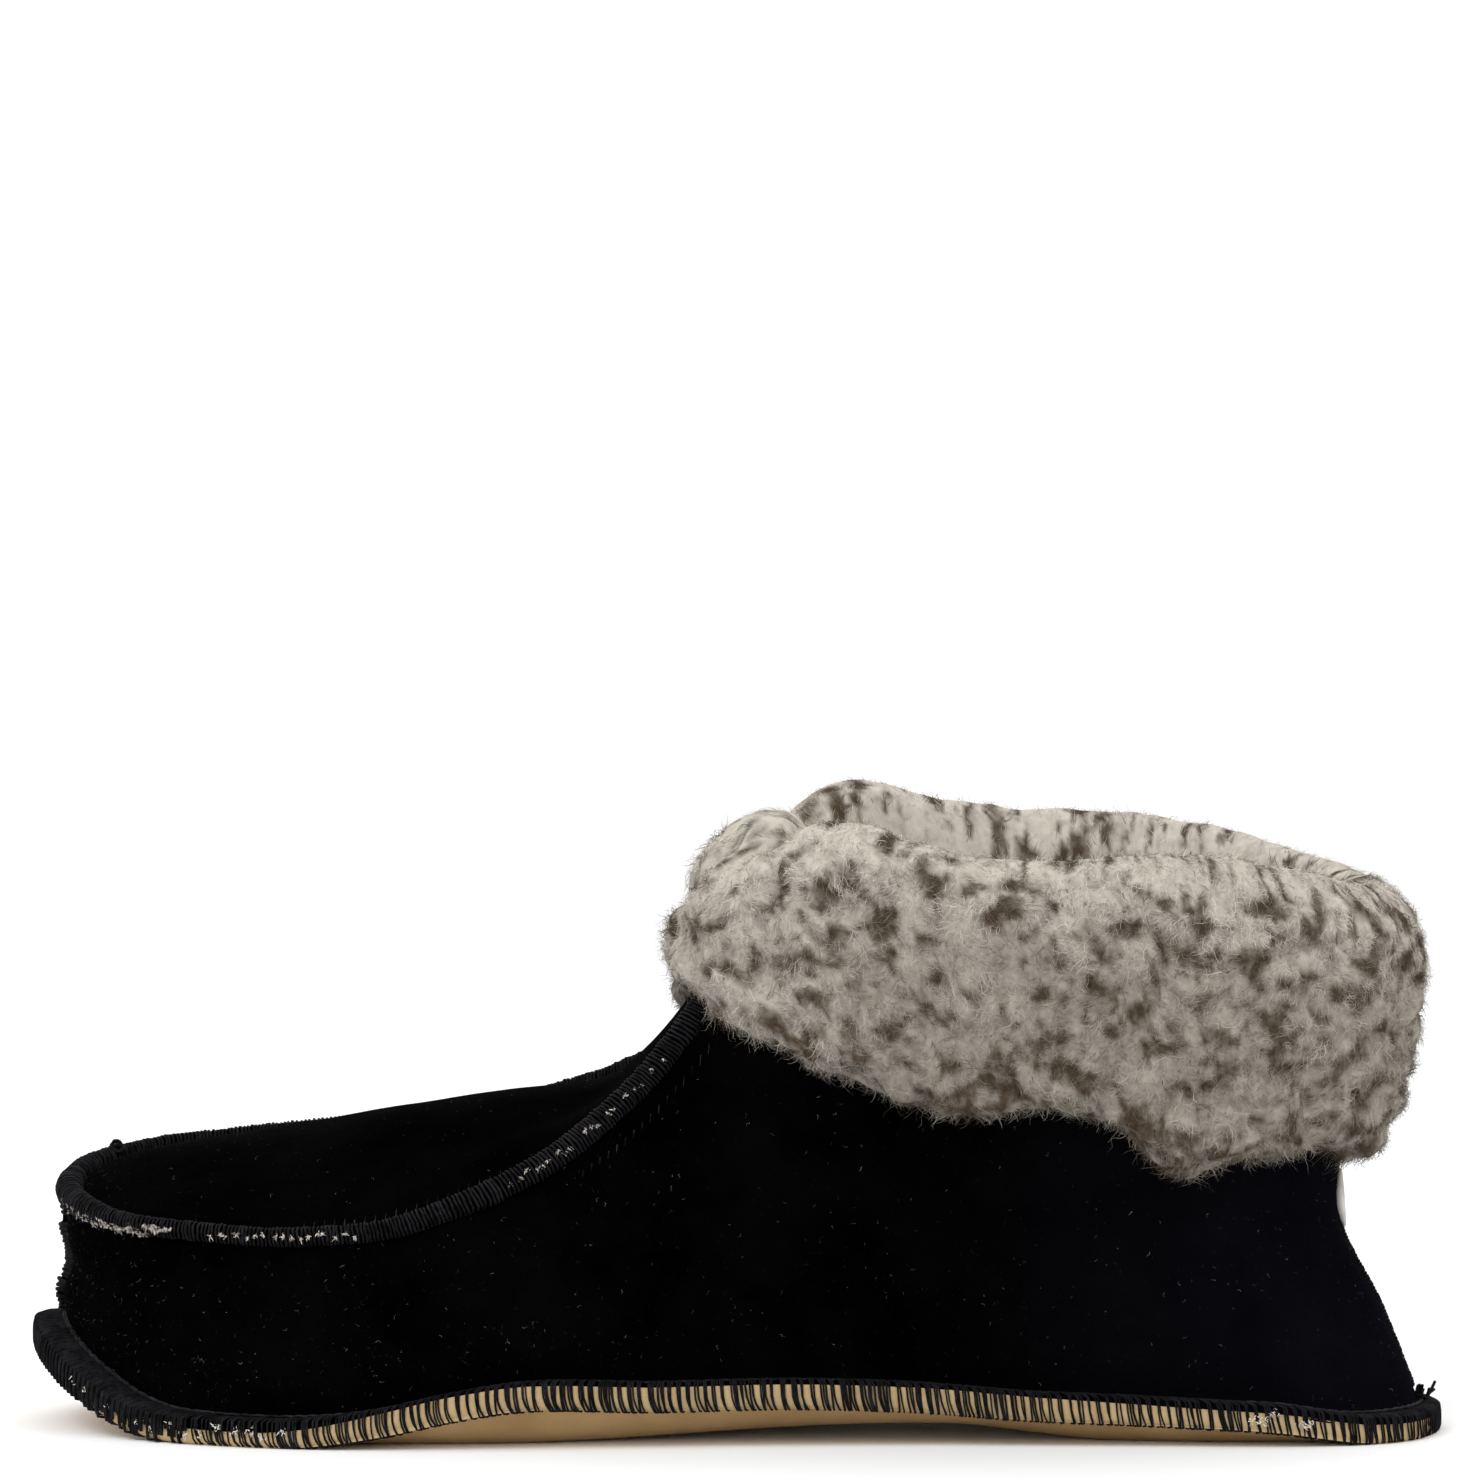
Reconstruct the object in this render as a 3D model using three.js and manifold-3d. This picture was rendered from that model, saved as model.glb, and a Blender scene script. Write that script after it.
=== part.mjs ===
// A sheepskin slipper boot for the left foot: a suede upper sewn edge to edge
// round a soft leather sole, a wool insole, and a fleece cuff over the collar.
// Millimetres, +Z up, toe toward -X and the outer side of the foot toward -Y.
// The origin is on the floor, under the middle of the heel.

import * as THREE from "three";
import * as BufferGeometryUtils from "three/addons/utils/BufferGeometryUtils.js";
import Module from "manifold-3d";

const wasm = await Module();
wasm.setup();

// Sizes of the last
const LENGTH = 280; // over the seams, heel to toe
const BALL_WIDTH = 104; // over the seams, across the ball
const HEEL_WIDTH = 70; // over the seams, across the heel
const INSTEP = 112; // collar's height beside the throat
const HEEL_HEIGHT = 96; // collar's height at the back seam
const TOE_HEIGHT = 46; // height of the apron's seam at the toe
const APRON_CROWN = 12.5; // rise of the apron above its two seams
const TOE_SPRING = 15.5; // rise of the sole's seam at the toe
const WAIST_LIFT = 7.5; // rise of the sole's seam beside the arch
const ARCH_RISE = 3; // rise of the sole's underside at the arch
const TOE_SWING = 5; // how far the toe lies toward the inner side

// Sizes of the pieces
const GAP = 0.3; // room between two pieces
const LEATHER = 1.8; // upper's wall
const SOLE = 2.8; // sole leather
const SEAM = 5.5; // width of the turned-out edge round the sole
const SOLE_ROLL = 9; // width over which the sole rolls down from its edge
const INSOLE = 6; // wool pad
const INSOLE_EDGE = 6; // from the seam's inside to the pad's edge
const APRON_BEAD = 2.5; // radius of the raised seam round the apron
const TOE_BEAD = 2.1; // radius of the upright seam at the toe
const HEEL_BEAD = 1.6; // radius of the upright seam at the heel
const CUFF_DEPTH = 40; // turned-down length of the fleece
const CUFF_PILE = 14; // fleece outside the wall
const CUFF_LINING = 7; // fleece inside the wall
const CUFF_RISE = 10.5; // fleece above the collar's edge
const CUFF_TUCK = 15; // length of the fleece inside the collar
const LOCK_LENGTH = 12; // one lock of wool
const LOCK_RADIUS = 4.4; // the lock's root

// Numbers of facets and copies
const ROUND = 80; // columns round the shoe
const THROAT = Math.round(0.2375 * ROUND); // column at the throat's corner
const ACROSS = 6; // strips across the apron
const WALL_ROWS = [0, 0.12, 0.26, 0.4, 0.5, 0.63, 0.8, 1]; // up the wall
const TOP_INSET = { back: 16, front: 6.6 }; // top edge from the two ends
const TOP_SPAN = LENGTH - TOP_INSET.back - TOP_INSET.front;
const HEEL_REST = 34 / 280; // share of the length at the middle of the heel
const LOCKS = 60; // locks of wool on the cuff

// Half widths of the sole's outline, as shares of half the width there.
const OUTLINE = along([
  { at: 0, outer: 1.94, inner: 1.94 },
  { at: 0.05, outer: 1.77, inner: 1.77 },
  { at: 0.1, outer: 1.57, inner: 1.57 },
  { at: 0.2, outer: 1.25, inner: 1.21 },
  { at: 0.3, outer: 1.12, inner: 1.0 },
  { at: 0.4, outer: 1.02, inner: 0.87 },
  { at: 0.5, outer: 0.94, inner: 0.83 },
  { at: 0.6, outer: 0.95, inner: 0.89 },
  { at: 0.7, outer: 1.05, inner: 1.03 },
  { at: 0.8, outer: 1.19, inner: 1.2 },
  { at: 0.9, outer: 1.28, inner: 1.35 },
  { at: 0.95, outer: 1.32, inner: 1.41 },
  { at: 1, outer: 1.33, inner: 1.33 },
]);

// Rise of the sewn edge, as shares of the waist's lift and the toe's spring.
const EDGE_RISE = along([
  { at: 0, waist: 0, toe: 0 },
  { at: 0.06, waist: 0.04, toe: 0 },
  { at: 0.12, waist: 0.36, toe: 0 },
  { at: 0.2, waist: 0.54, toe: 0 },
  { at: 0.3, waist: 0.7, toe: 0 },
  { at: 0.37, waist: 0.9, toe: 0 },
  { at: 0.45, waist: 1, toe: 0 },
  { at: 0.55, waist: 0.96, toe: 0 },
  { at: 0.64, waist: 1, toe: 0 },
  { at: 0.69, waist: 0.72, toe: 0 },
  { at: 0.73, waist: 0.38, toe: 0 },
  { at: 0.78, waist: 0.08, toe: 0 },
  { at: 0.82, waist: 0, toe: 0 },
  { at: 0.87, waist: 0, toe: 0.01 },
  { at: 0.9, waist: 0, toe: 0.05 },
  { at: 0.927, waist: 0, toe: 0.19 },
  { at: 0.95, waist: 0, toe: 0.4 },
  { at: 0.973, waist: 0, toe: 0.64 },
  { at: 1, waist: 0, toe: 1 },
]);

// The wall's waistline: shares of the ball's width in from the outline, of the
// way up to the top edge, and of the ball's width for the swell below and
// above it.
const WAISTLINE = along([
  { at: 0, inset: 0.206, up: 0.41, below: 0.006, above: -0.004 },
  { at: 0.05, inset: 0.17, up: 0.41, below: 0.012, above: 0 },
  { at: 0.1, inset: 0.106, up: 0.4, below: 0.02, above: 0 },
  { at: 0.2, inset: 0.077, up: 0.37, below: 0.022, above: 0 },
  { at: 0.35, inset: 0.062, up: 0.35, below: 0.02, above: 0.01 },
  { at: 0.5, inset: 0.058, up: 0.34, below: 0.02, above: 0.018 },
  { at: 0.6, inset: 0.048, up: 0.34, below: 0.02, above: 0.025 },
  { at: 0.7, inset: 0.043, up: 0.36, below: 0.018, above: 0.026 },
  { at: 0.8, inset: 0.043, up: 0.38, below: 0.016, above: 0.024 },
  { at: 0.9, inset: 0.048, up: 0.4, below: 0.012, above: 0.02 },
  { at: 1, inset: 0.067, up: 0.45, below: 0.01, above: 0.01 },
]);

// Top edge of the wall: half width as a share of half the width there, mean
// height as a share of the instep, the heel or the toe, and how much higher
// the inner side and lower the outer side runs, as a share of the same.
const TOP_EDGE = along([
  { at: 0, half: 1.78, height: 0.857, tilt: 0.01 },
  { at: 0.035, half: 1.68, height: 0.883, tilt: 0.026 },
  { at: 0.093, half: 1.57, height: 0.917, tilt: 0.03 },
  { at: 0.15, half: 1.47, height: 0.942, tilt: 0.028 },
  { at: 0.209, half: 1.37, height: 0.962, tilt: 0.03 },
  { at: 0.325, half: 1.15, height: 0.989, tilt: 0.027 },
  { at: 0.402, half: 0.84, height: 1, tilt: 0.025 },
  { at: 0.456, half: 0.52, height: 0.937, tilt: 0.01 },
  { at: 0.492, half: 0.52, height: 0.795, tilt: 0.009 },
  { at: 0.518, half: 0.53, height: 0.705, tilt: 0.009 },
  { at: 0.549, half: 0.55, height: 0.62, tilt: 0.013 },
  { at: 0.578, half: 0.59, height: 0.571, tilt: 0.027 },
  { at: 0.615, half: 0.63, height: 0.522, tilt: 0.046 },
  { at: 0.654, half: 0.68, height: 0.484, tilt: 0.059 },
  { at: 0.692, half: 0.73, height: 0.457, tilt: 0.071 },
  { at: 0.731, half: 0.78, height: 0.435, tilt: 0.084 },
  { at: 0.808, half: 0.87, height: 0.419, tilt: 0.097 },
  { at: 0.886, half: 0.97, height: 0.412, tilt: 0.1 },
  { at: 0.955, half: 1.07, height: 0.411, tilt: 0.115 },
  { at: 1, half: 1.12, height: 0.411, tilt: 0.12 },
]);

// Rise of the apron between its seams, as a share of its crown.
const CROWN = along([
  { at: 0.44, rise: 0.36 },
  { at: 0.51, rise: 0.36 },
  { at: 0.557, rise: 0.38 },
  { at: 0.576, rise: 0.33 },
  { at: 0.619, rise: 0.64 },
  { at: 0.665, rise: 0.9 },
  { at: 0.742, rise: 1 },
  { at: 0.82, rise: 0.78 },
  { at: 0.858, rise: 0.72 },
  { at: 0.93, rise: 0.5 },
  { at: 0.97, rise: 0.32 },
  { at: 1, rise: 0 },
]);

// Turned-down length of the cuff along each side, as a share of its depth.
const CUFF_EDGE = along([
  { at: 0, outer: 0.98, inner: 0.98 },
  { at: 0.039, outer: 0.93, inner: 0.98 },
  { at: 0.076, outer: 1.03, inner: 0.96 },
  { at: 0.112, outer: 1.18, inner: 1 },
  { at: 0.14, outer: 1.16, inner: 1 },
  { at: 0.166, outer: 1.07, inner: 1 },
  { at: 0.211, outer: 0.95, inner: 1 },
  { at: 0.311, outer: 0.97, inner: 1 },
  { at: 0.383, outer: 0.86, inner: 0.96 },
  { at: 0.42, outer: 0.76, inner: 0.9 },
  { at: 0.46, outer: 0.44, inner: 0.74 },
]);

// Interpolates the rows of a table whose first column is "at".
function along(rows) {
  const names = Object.keys(rows[0]).slice(1);
  const spots = rows.map((row) => row.at);
  const values = rows.flatMap((row) => names.map((name) => row[name]));
  const track = new THREE.CubicInterpolant(spots, values, names.length);
  return (at) => {
    const found = track.evaluate(at);
    return Object.fromEntries(names.map((name, index) => [name, found[index]]));
  };
}

function columnAngle(column) {
  return (2 * Math.PI * column) / ROUND;
}

function shareAt(angle) {
  return (1 - Math.cos(angle)) / 2;
}

function sideAt(angle) {
  return Math.sin(angle) < 0 ? "inner" : "outer";
}

function halfWidth(at) {
  const forefoot = THREE.MathUtils.smoothstep(at, 0.3, 0.7);
  return THREE.MathUtils.lerp(HEEL_WIDTH, BALL_WIDTH, forefoot) / 2;
}

// Height that the top edge's shares refer to: the instep's, led over to the
// heel's behind the ankle and to the toe's over the toes.
function heightScale(at) {
  const heel = 1 - THREE.MathUtils.smoothstep(at, 0.02, 0.3);
  const toe = THREE.MathUtils.smoothstep(at, 0.62, 0.95);
  return INSTEP
    + heel * (HEEL_HEIGHT / TOP_EDGE(0).height - INSTEP)
    + toe * (TOE_HEIGHT / TOP_EDGE(1).height - INSTEP);
}

function xAt(fromBack) {
  return HEEL_REST * LENGTH - fromBack;
}

// Middle of the shoe at a distance from its back, bent inward over the toes.
function swingAt(fromBack) {
  return TOE_SWING * THREE.MathUtils.smoothstep(fromBack / LENGTH, 0.45, 1.05);
}

// Point above the outline, moved in by the given insets.
function insetPoint(angle, inset, height) {
  const at = shareAt(angle);
  const fromBack = inset.back + (LENGTH - inset.back - inset.front) * at;
  const half = halfWidth(at) * OUTLINE(at)[sideAt(angle)] - inset.side;
  return new THREE.Vector3(xAt(fromBack), swingAt(fromBack) - half * Math.sin(angle), height);
}

function evenInset(width) {
  return { back: width, front: width, side: width };
}

function edgeRise(angle) {
  const rise = EDGE_RISE(shareAt(angle));
  return Math.max(WAIST_LIFT * rise.waist + TOE_SPRING * rise.toe, 0);
}

// Height that one millimetre across the sloping edge takes up.
function edgeSteepness(angle) {
  const step = 0.04; // radians to either side, over which the slope is taken
  const [before, after] = [angle - step, angle + step].map((near) => (
    insetPoint(near, evenInset(SEAM), edgeRise(near))
  ));
  const run = Math.hypot(after.x - before.x, after.y - before.y);
  return Math.hypot(1, (after.z - before.z) / run);
}

// Height of the sole's underside away from its edge, flat under the heel and
// under the ball.
function soleBase(at) {
  const rising = THREE.MathUtils.smoothstep(at, 0.2, 0.34);
  const falling = 1 - THREE.MathUtils.smoothstep(at, 0.36, 0.68);
  const toe = THREE.MathUtils.smoothstep(at, 0.9, 1.1);
  return ARCH_RISE * Math.min(rising, falling) + TOE_SPRING * toe;
}

// Upper
// The outside of the wall rises from the sewn edge over the waistline to the
// top edge. The apron spans the top edge from the throat to the toe.

function footPoint(angle) {
  const thickness = (GAP + LEATHER) * edgeSteepness(angle);
  return insetPoint(angle, evenInset(SEAM), edgeRise(angle) + SOLE + thickness);
}

function topPoint(angle) {
  const at = shareAt(angle);
  const row = TOP_EDGE(at);
  const fromBack = TOP_INSET.back + TOP_SPAN * at;
  return new THREE.Vector3(
    xAt(fromBack),
    swingAt(fromBack) - halfWidth(at) * row.half * Math.sin(angle),
    heightScale(at) * (row.height - row.tilt * Math.sin(angle)),
  );
}

function waistPoint(angle) {
  const row = WAISTLINE(shareAt(angle));
  const inset = {
    back: WAISTLINE(0).inset * BALL_WIDTH,
    front: WAISTLINE(1).inset * BALL_WIDTH,
    side: row.inset * BALL_WIDTH,
  };
  return insetPoint(angle, inset, THREE.MathUtils.lerp(footPoint(angle).z, topPoint(angle).z, row.up));
}

// Level direction away from the shoe's middle.
function outward(angle) {
  const lengthwise = Math.cos(angle) / LENGTH;
  const sideways = -Math.sin(angle) / BALL_WIDTH;
  return new THREE.Vector3(lengthwise, sideways, 0).normalize();
}

// Point at the share "up" of the way from the sewn edge to the top edge.
function wallPoint(angle, up) {
  const foot = footPoint(angle);
  const waist = waistPoint(angle);
  const top = topPoint(angle);
  const row = WAISTLINE(shareAt(angle));
  const out = outward(angle);
  const below = foot.clone().lerp(waist, 0.5).addScaledVector(out, row.below * BALL_WIDTH);
  const above = waist.clone().lerp(top, 0.5).addScaledVector(out, row.above * BALL_WIDTH);
  return new THREE.CatmullRomCurve3([foot, below, waist, above, top]).getPoint(up);
}

// Point on the apron at a share of the top edge, "over" from the outer seam
// at 0 to the inner seam at 1.
function apronPoint(at, over) {
  const angle = Math.acos(1 - 2 * Math.min(at, 1));
  const point = topPoint(angle).lerp(topPoint(-angle), over);
  point.z += APRON_CROWN * CROWN(at).rise * (1 - (2 * over - 1) ** 2);
  return point;
}

// The upper's outside as one open sheet. "rim" lengthens it at the collar.
function upperSheet(rim) {
  const points = [];
  const faces = [];
  const rows = [];
  const addRow = (row) => {
    rows.push(points.length);
    points.push(...row);
  };
  const columns = Array.from({ length: ROUND }, (_, column) => columnAngle(column));
  addRow(columns.map((angle) => insetPoint(angle, evenInset(0), footPoint(angle).z)));
  for (const up of WALL_ROWS) {
    addRow(columns.map((angle) => wallPoint(angle, up)));
  }
  for (let row = 0; row < rows.length - 1; row += 1) {
    for (let column = 0; column < ROUND; column += 1) {
      const next = (column + 1) % ROUND;
      addQuad(faces, rows[row] + column, rows[row + 1] + column, rows[row + 1] + next, rows[row] + next);
    }
  }
  const top = rows.at(-1);
  let previous = null;
  for (let column = THROAT; column < ROUND / 2; column += 1) {
    const strip = [top + column];
    for (let step = 1; step < ACROSS; step += 1) {
      strip.push(points.length);
      points.push(apronPoint(shareAt(columnAngle(column)), step / ACROSS));
    }
    strip.push(top + ROUND - column);
    if (previous) {
      for (let step = 0; step < ACROSS; step += 1) {
        addQuad(faces, previous[step], previous[step + 1], strip[step + 1], strip[step]);
      }
    }
    previous = strip;
  }
  for (let step = 0; step < ACROSS; step += 1) {
    faces.push([previous[step], previous[step + 1], top + ROUND / 2]);
  }
  if (rim > 0) {
    liftRim(points, faces, rim);
  }
  return { points, faces };
}

function addQuad(faces, a, b, c, d) {
  faces.push([a, b, c], [a, c, d]);
}

// Edges of the sheet that only one face uses.
function openEdges(faces) {
  const seen = new Set();
  for (const [a, b, c] of faces) {
    for (const [from, to] of [[a, b], [b, c], [c, a]]) {
      seen.add(`${from},${to}`);
    }
  }
  const open = [...seen].filter((edge) => !seen.has(edge.split(",").reverse().join(",")));
  return open.map((edge) => edge.split(",").map(Number));
}

// Moves the collar's edge up, away from the sewn edge below.
function liftRim(points, faces, rim) {
  for (const [from] of openEdges(faces)) {
    if (points[from].z > TOE_HEIGHT) {
      points[from].z += rim;
    }
  }
}

// Step from each point of a sheet that moves every face round it out by one
// millimetre, so that corners are mitred and a wall keeps its thickness.
function offsetSteps({ points, faces }) {
  const blunt = 0.02; // share of the plain mean normal, which settles flat places
  const sums = points.map(() => ({ outer: new Array(9).fill(0), normal: new THREE.Vector3() }));
  for (const face of faces) {
    const [a, b, c] = face.map((corner) => points[corner]);
    const normal = new THREE.Triangle(a, b, c).getNormal(new THREE.Vector3());
    const parts = normal.toArray();
    face.forEach((corner, place) => {
      const toNext = points[face[(place + 1) % 3]].clone().sub(points[corner]);
      const toLast = points[face[(place + 2) % 3]].clone().sub(points[corner]);
      const weight = toNext.angleTo(toLast);
      const { outer, normal: sum } = sums[corner];
      parts.forEach((across, row) => {
        parts.forEach((down, column) => {
          outer[row * 3 + column] += weight * across * down;
        });
      });
      sum.addScaledVector(normal, weight);
    });
  }
  return sums.map(({ outer, normal }) => {
    const mean = normal.clone().normalize();
    const [a, b, c, d, e, f, g, h, i] = outer;
    const spread = new THREE.Matrix3(a + blunt, b, c, d, e + blunt, f, g, h, i + blunt);
    return normal.addScaledVector(mean, blunt).applyMatrix3(spread.invert());
  });
}

// Sides of a sheet moved out and in by the given distances, closed into a
// solid.
function thicken(sheet, out, inward) {
  const { points, faces } = sheet;
  const steps = offsetSteps(sheet);
  const moved = (distance) => (
    points.map((point, index) => point.clone().addScaledVector(steps[index], distance))
  );
  const count = points.length;
  const closed = [...faces];
  for (const [a, b, c] of faces) {
    closed.push([a + count, c + count, b + count]);
  }
  for (const [from, to] of openEdges(faces)) {
    addQuad(closed, from, from + count, to + count, to);
  }
  return solidOf([...moved(out), ...moved(-inward)], closed);
}

function solidOf(points, faces) {
  return new wasm.Manifold(new wasm.Mesh({
    numProp: 3,
    vertProperties: new Float32Array(points.flatMap((point) => point.toArray())),
    triVerts: new Uint32Array(faces.flat()),
  }));
}

function solidFromGeometry(geometry) {
  geometry.deleteAttribute("normal");
  geometry.deleteAttribute("uv");
  const merged = BufferGeometryUtils.mergeVertices(geometry);
  return new wasm.Manifold(new wasm.Mesh({
    numProp: 3,
    vertProperties: merged.getAttribute("position").array,
    triVerts: new Uint32Array(merged.getIndex().array),
  }));
}

// A sewn ridge: a round section led along the given points, thicker and
// longer by "room" where another piece clears it.
function bead(points, radius, step, room) {
  const [first, second] = points;
  const [beforeLast, last] = points.slice(-2);
  const start = first.clone().add(first.clone().sub(second).setLength(room));
  const end = last.clone().add(last.clone().sub(beforeLast).setLength(room));
  const path = new THREE.CatmullRomCurve3([start, ...points.slice(1, -1), end]);
  const section = new THREE.Shape().absarc(0, 0, radius + room, 0, 2 * Math.PI);
  return solidFromGeometry(new THREE.ExtrudeGeometry(section, {
    steps: Math.round(path.getLength() / step),
    curveSegments: 4,
    bevelEnabled: false,
    extrudePath: path,
  }));
}

// Shares of the wall's height that the two upright seams run through.
const TOE_SEAM = [0.06, 0.3, 0.55, 0.8, 0.97];
const HEEL_SEAM = [0.06, 0.25, 0.4, 0.5, 0.64];
const APRON_SEAM_LEAN = { out: 0.6, up: 0.8 }; // which way the ridge stands off
const SEAM_FACET = { apron: 6, toe: 7, heel: 9 }; // length of a facet along it

// The three raised seams: round the apron and upright at the toe and heel.
function raisedSeams(room) {
  const apron = [];
  for (let column = THROAT + 1; column < ROUND - THROAT; column += 1) {
    const angle = columnAngle(column);
    const lean = outward(angle).multiplyScalar(APRON_SEAM_LEAN.out).setZ(APRON_SEAM_LEAN.up);
    apron.push(topPoint(angle).addScaledVector(lean, APRON_BEAD / 2));
  }
  const toe = TOE_SEAM.map((up) => wallPoint(Math.PI, up));
  const heel = HEEL_SEAM.map((up) => wallPoint(0, up));
  return bead(apron, APRON_BEAD, SEAM_FACET.apron, room)
    .add(bead(toe, TOE_BEAD, SEAM_FACET.toe, room))
    .add(bead(heel, HEEL_BEAD, SEAM_FACET.heel, room));
}

// Space that the other pieces leave free for the upper.
function upperRoom() {
  return thicken(upperSheet(GAP), GAP, LEATHER + GAP).add(raisedSeams(GAP));
}

// The body of a solid without the crumbs that a join or a cut leaves.
function mainBody(solid) {
  return solid.decompose().sort((a, b) => b.volume() - a.volume())[0];
}

function makeUpper() {
  return mainBody(thicken(upperSheet(0), 0, LEATHER).add(raisedSeams(0)));
}

// Sole
// One sheet of soft leather: level under the seam, rolled down inside it and
// straight across under the foot.

const SOLE_RINGS = [
  { inset: 0, down: 0 },
  { inset: SEAM, down: 0 },
  { inset: SEAM + SOLE_ROLL * 0.45, down: 0.55 },
  { inset: SEAM + SOLE_ROLL, down: 1 },
];

function ringPoint(angle, ring, above) {
  const rise = THREE.MathUtils.lerp(edgeRise(angle), soleBase(shareAt(angle)), ring.down);
  return insetPoint(angle, evenInset(ring.inset), rise + above);
}

function ringPoints(ring, above) {
  return Array.from({ length: ROUND }, (_, column) => ringPoint(columnAngle(column), ring, above));
}

// Rings from the outside in, with the last one filled straight across.
function ringSheet(rings) {
  const faces = [];
  for (let row = 0; row < rings.length - 1; row += 1) {
    for (let column = 0; column < ROUND; column += 1) {
      const next = (column + 1) % ROUND;
      const low = row * ROUND;
      addQuad(faces, low + column, low + ROUND + column, low + ROUND + next, low + next);
    }
  }
  const last = (rings.length - 1) * ROUND;
  for (let column = 0; column < ROUND / 2; column += 1) {
    const across = (ROUND - column) % ROUND;
    const acrossNext = ROUND - column - 1;
    if (column > 0) {
      faces.push([last + column, last + across, last + column + 1]);
    }
    if (acrossNext > column + 1) {
      faces.push([last + across, last + acrossNext, last + column + 1]);
    }
  }
  return { points: rings.flat(), faces };
}

function soleSheet() {
  return ringSheet(SOLE_RINGS.map((ring) => ringPoints(ring, SOLE)));
}

function makeSole() {
  return thicken(soleSheet(), 0, SOLE);
}

// Insole
// A wool pad that lies in the tray of the sole, with a rounded upper edge.

const INSOLE_ROUNDING = { down: 0.3 * INSOLE, inward: 0.4 * INSOLE };

function makeInsole() {
  const edge = SEAM + INSOLE_EDGE;
  const top = SOLE + GAP + INSOLE;
  const sheet = ringSheet([
    ringPoints({ inset: edge, down: 1 }, top - INSOLE_ROUNDING.down),
    ringPoints({ inset: edge + INSOLE_ROUNDING.inward, down: 1 }, top),
  ]);
  return thicken(sheet, 0, INSOLE + GAP).subtract(thicken(soleSheet(), GAP, SOLE));
}

// Cuff
// The wool side of the collar, turned down: it hangs over the collar's edge,
// thick outside the wall and thinner inside it.

const TONGUE_COLUMNS = [0.7, 0.5, 0.3]; // shares of the way over the tongue
const TONGUE_SLOPE = 0.72; // level share of a step down the tongue
const TONGUE_LEAN = THREE.MathUtils.degToRad(60); // of the fleece above its edge
const CORNER_MITRE = 1.35; // longer reach in the throat's inner corners
const NORMAL_STEP = 2; // distance over which the wall's direction is taken

// Columns round the collar: from the throat's outer corner round the heel to
// its inner corner, then back across the tongue.
function collarColumns() {
  const columns = [];
  for (let column = THROAT; column >= -THROAT; column -= 1) {
    const angle = columnAngle(column);
    columns.push({
      at: shareAt(angle),
      side: sideAt(angle),
      pointAt: (depth) => sidePoint(angle, depth),
    });
  }
  const corner = shareAt(columnAngle(THROAT));
  for (const over of TONGUE_COLUMNS) {
    columns.push({ at: corner, over, pointAt: (depth) => tonguePoint(over, depth) });
  }
  for (const [place, over] of [[0, 0], [2 * THROAT, 1]]) {
    const beside = columns[place].pointAt;
    columns[place].pointAt = (depth) => beside(depth).lerp(tonguePoint(over, depth), 0.5);
  }
  return columns;
}

// Point on the wall at a depth below the collar's edge, or above the edge in
// line with the wall.
function sidePoint(angle, depth) {
  const top = wallPoint(angle, 1);
  const waist = wallPoint(angle, 0.5);
  const up = 1 - (0.5 * Math.max(depth, 0)) / top.distanceTo(waist);
  const rise = top.sub(waist).normalize();
  return wallPoint(angle, up).addScaledVector(rise, Math.max(-depth, 0));
}

function tonguePoint(over, depth) {
  const corner = shareAt(columnAngle(THROAT));
  const point = apronPoint(corner + (Math.max(depth, 0) * TONGUE_SLOPE) / TOP_SPAN, over);
  const up = new THREE.Vector3(Math.cos(TONGUE_LEAN), 0, Math.sin(TONGUE_LEAN));
  return point.addScaledVector(up, Math.max(-depth, 0));
}

function turnedDown(column) {
  if (column.over === undefined) {
    return CUFF_DEPTH * CUFF_EDGE(column.at)[column.side];
  }
  const ends = CUFF_EDGE(column.at);
  return CUFF_DEPTH * THREE.MathUtils.lerp(ends.outer, ends.inner, column.over);
}

// Outward direction at a column and depth, from the neighbours round about.
function collarNormal(columns, place, depth) {
  const count = columns.length;
  const before = columns[(place + count - 1) % count].pointAt(depth);
  const after = columns[(place + 1) % count].pointAt(depth);
  const lower = columns[place].pointAt(Math.max(depth, 0) + NORMAL_STEP);
  const upper = columns[place].pointAt(Math.max(depth, 0));
  return before.sub(after).cross(lower.sub(upper)).normalize();
}

// Section of the cuff as depths down the wall and distances out from it.
function cuffProfile(column) {
  const down = turnedDown(column);
  const inside = -(LEATHER + CUFF_LINING);
  const wall = -LEATHER / 2;
  return [
    { depth: down, out: wall },
    { depth: down * 1.05, out: CUFF_PILE * 0.35 },
    { depth: down * 0.93, out: CUFF_PILE * 0.72 },
    { depth: down * 0.68, out: CUFF_PILE * 0.95 },
    { depth: down * 0.4, out: CUFF_PILE },
    { depth: down * 0.1, out: CUFF_PILE * 0.97 },
    { depth: -CUFF_RISE * 0.55, out: CUFF_PILE * 0.72 },
    { depth: -CUFF_RISE, out: CUFF_PILE * 0.2 },
    { depth: -CUFF_RISE * 0.9, out: inside * 0.5 },
    { depth: -CUFF_RISE * 0.35, out: inside * 0.9 },
    { depth: CUFF_TUCK * 0.4, out: inside },
    { depth: CUFF_TUCK, out: inside * 0.7 },
    { depth: CUFF_TUCK, out: wall },
  ];
}

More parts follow.
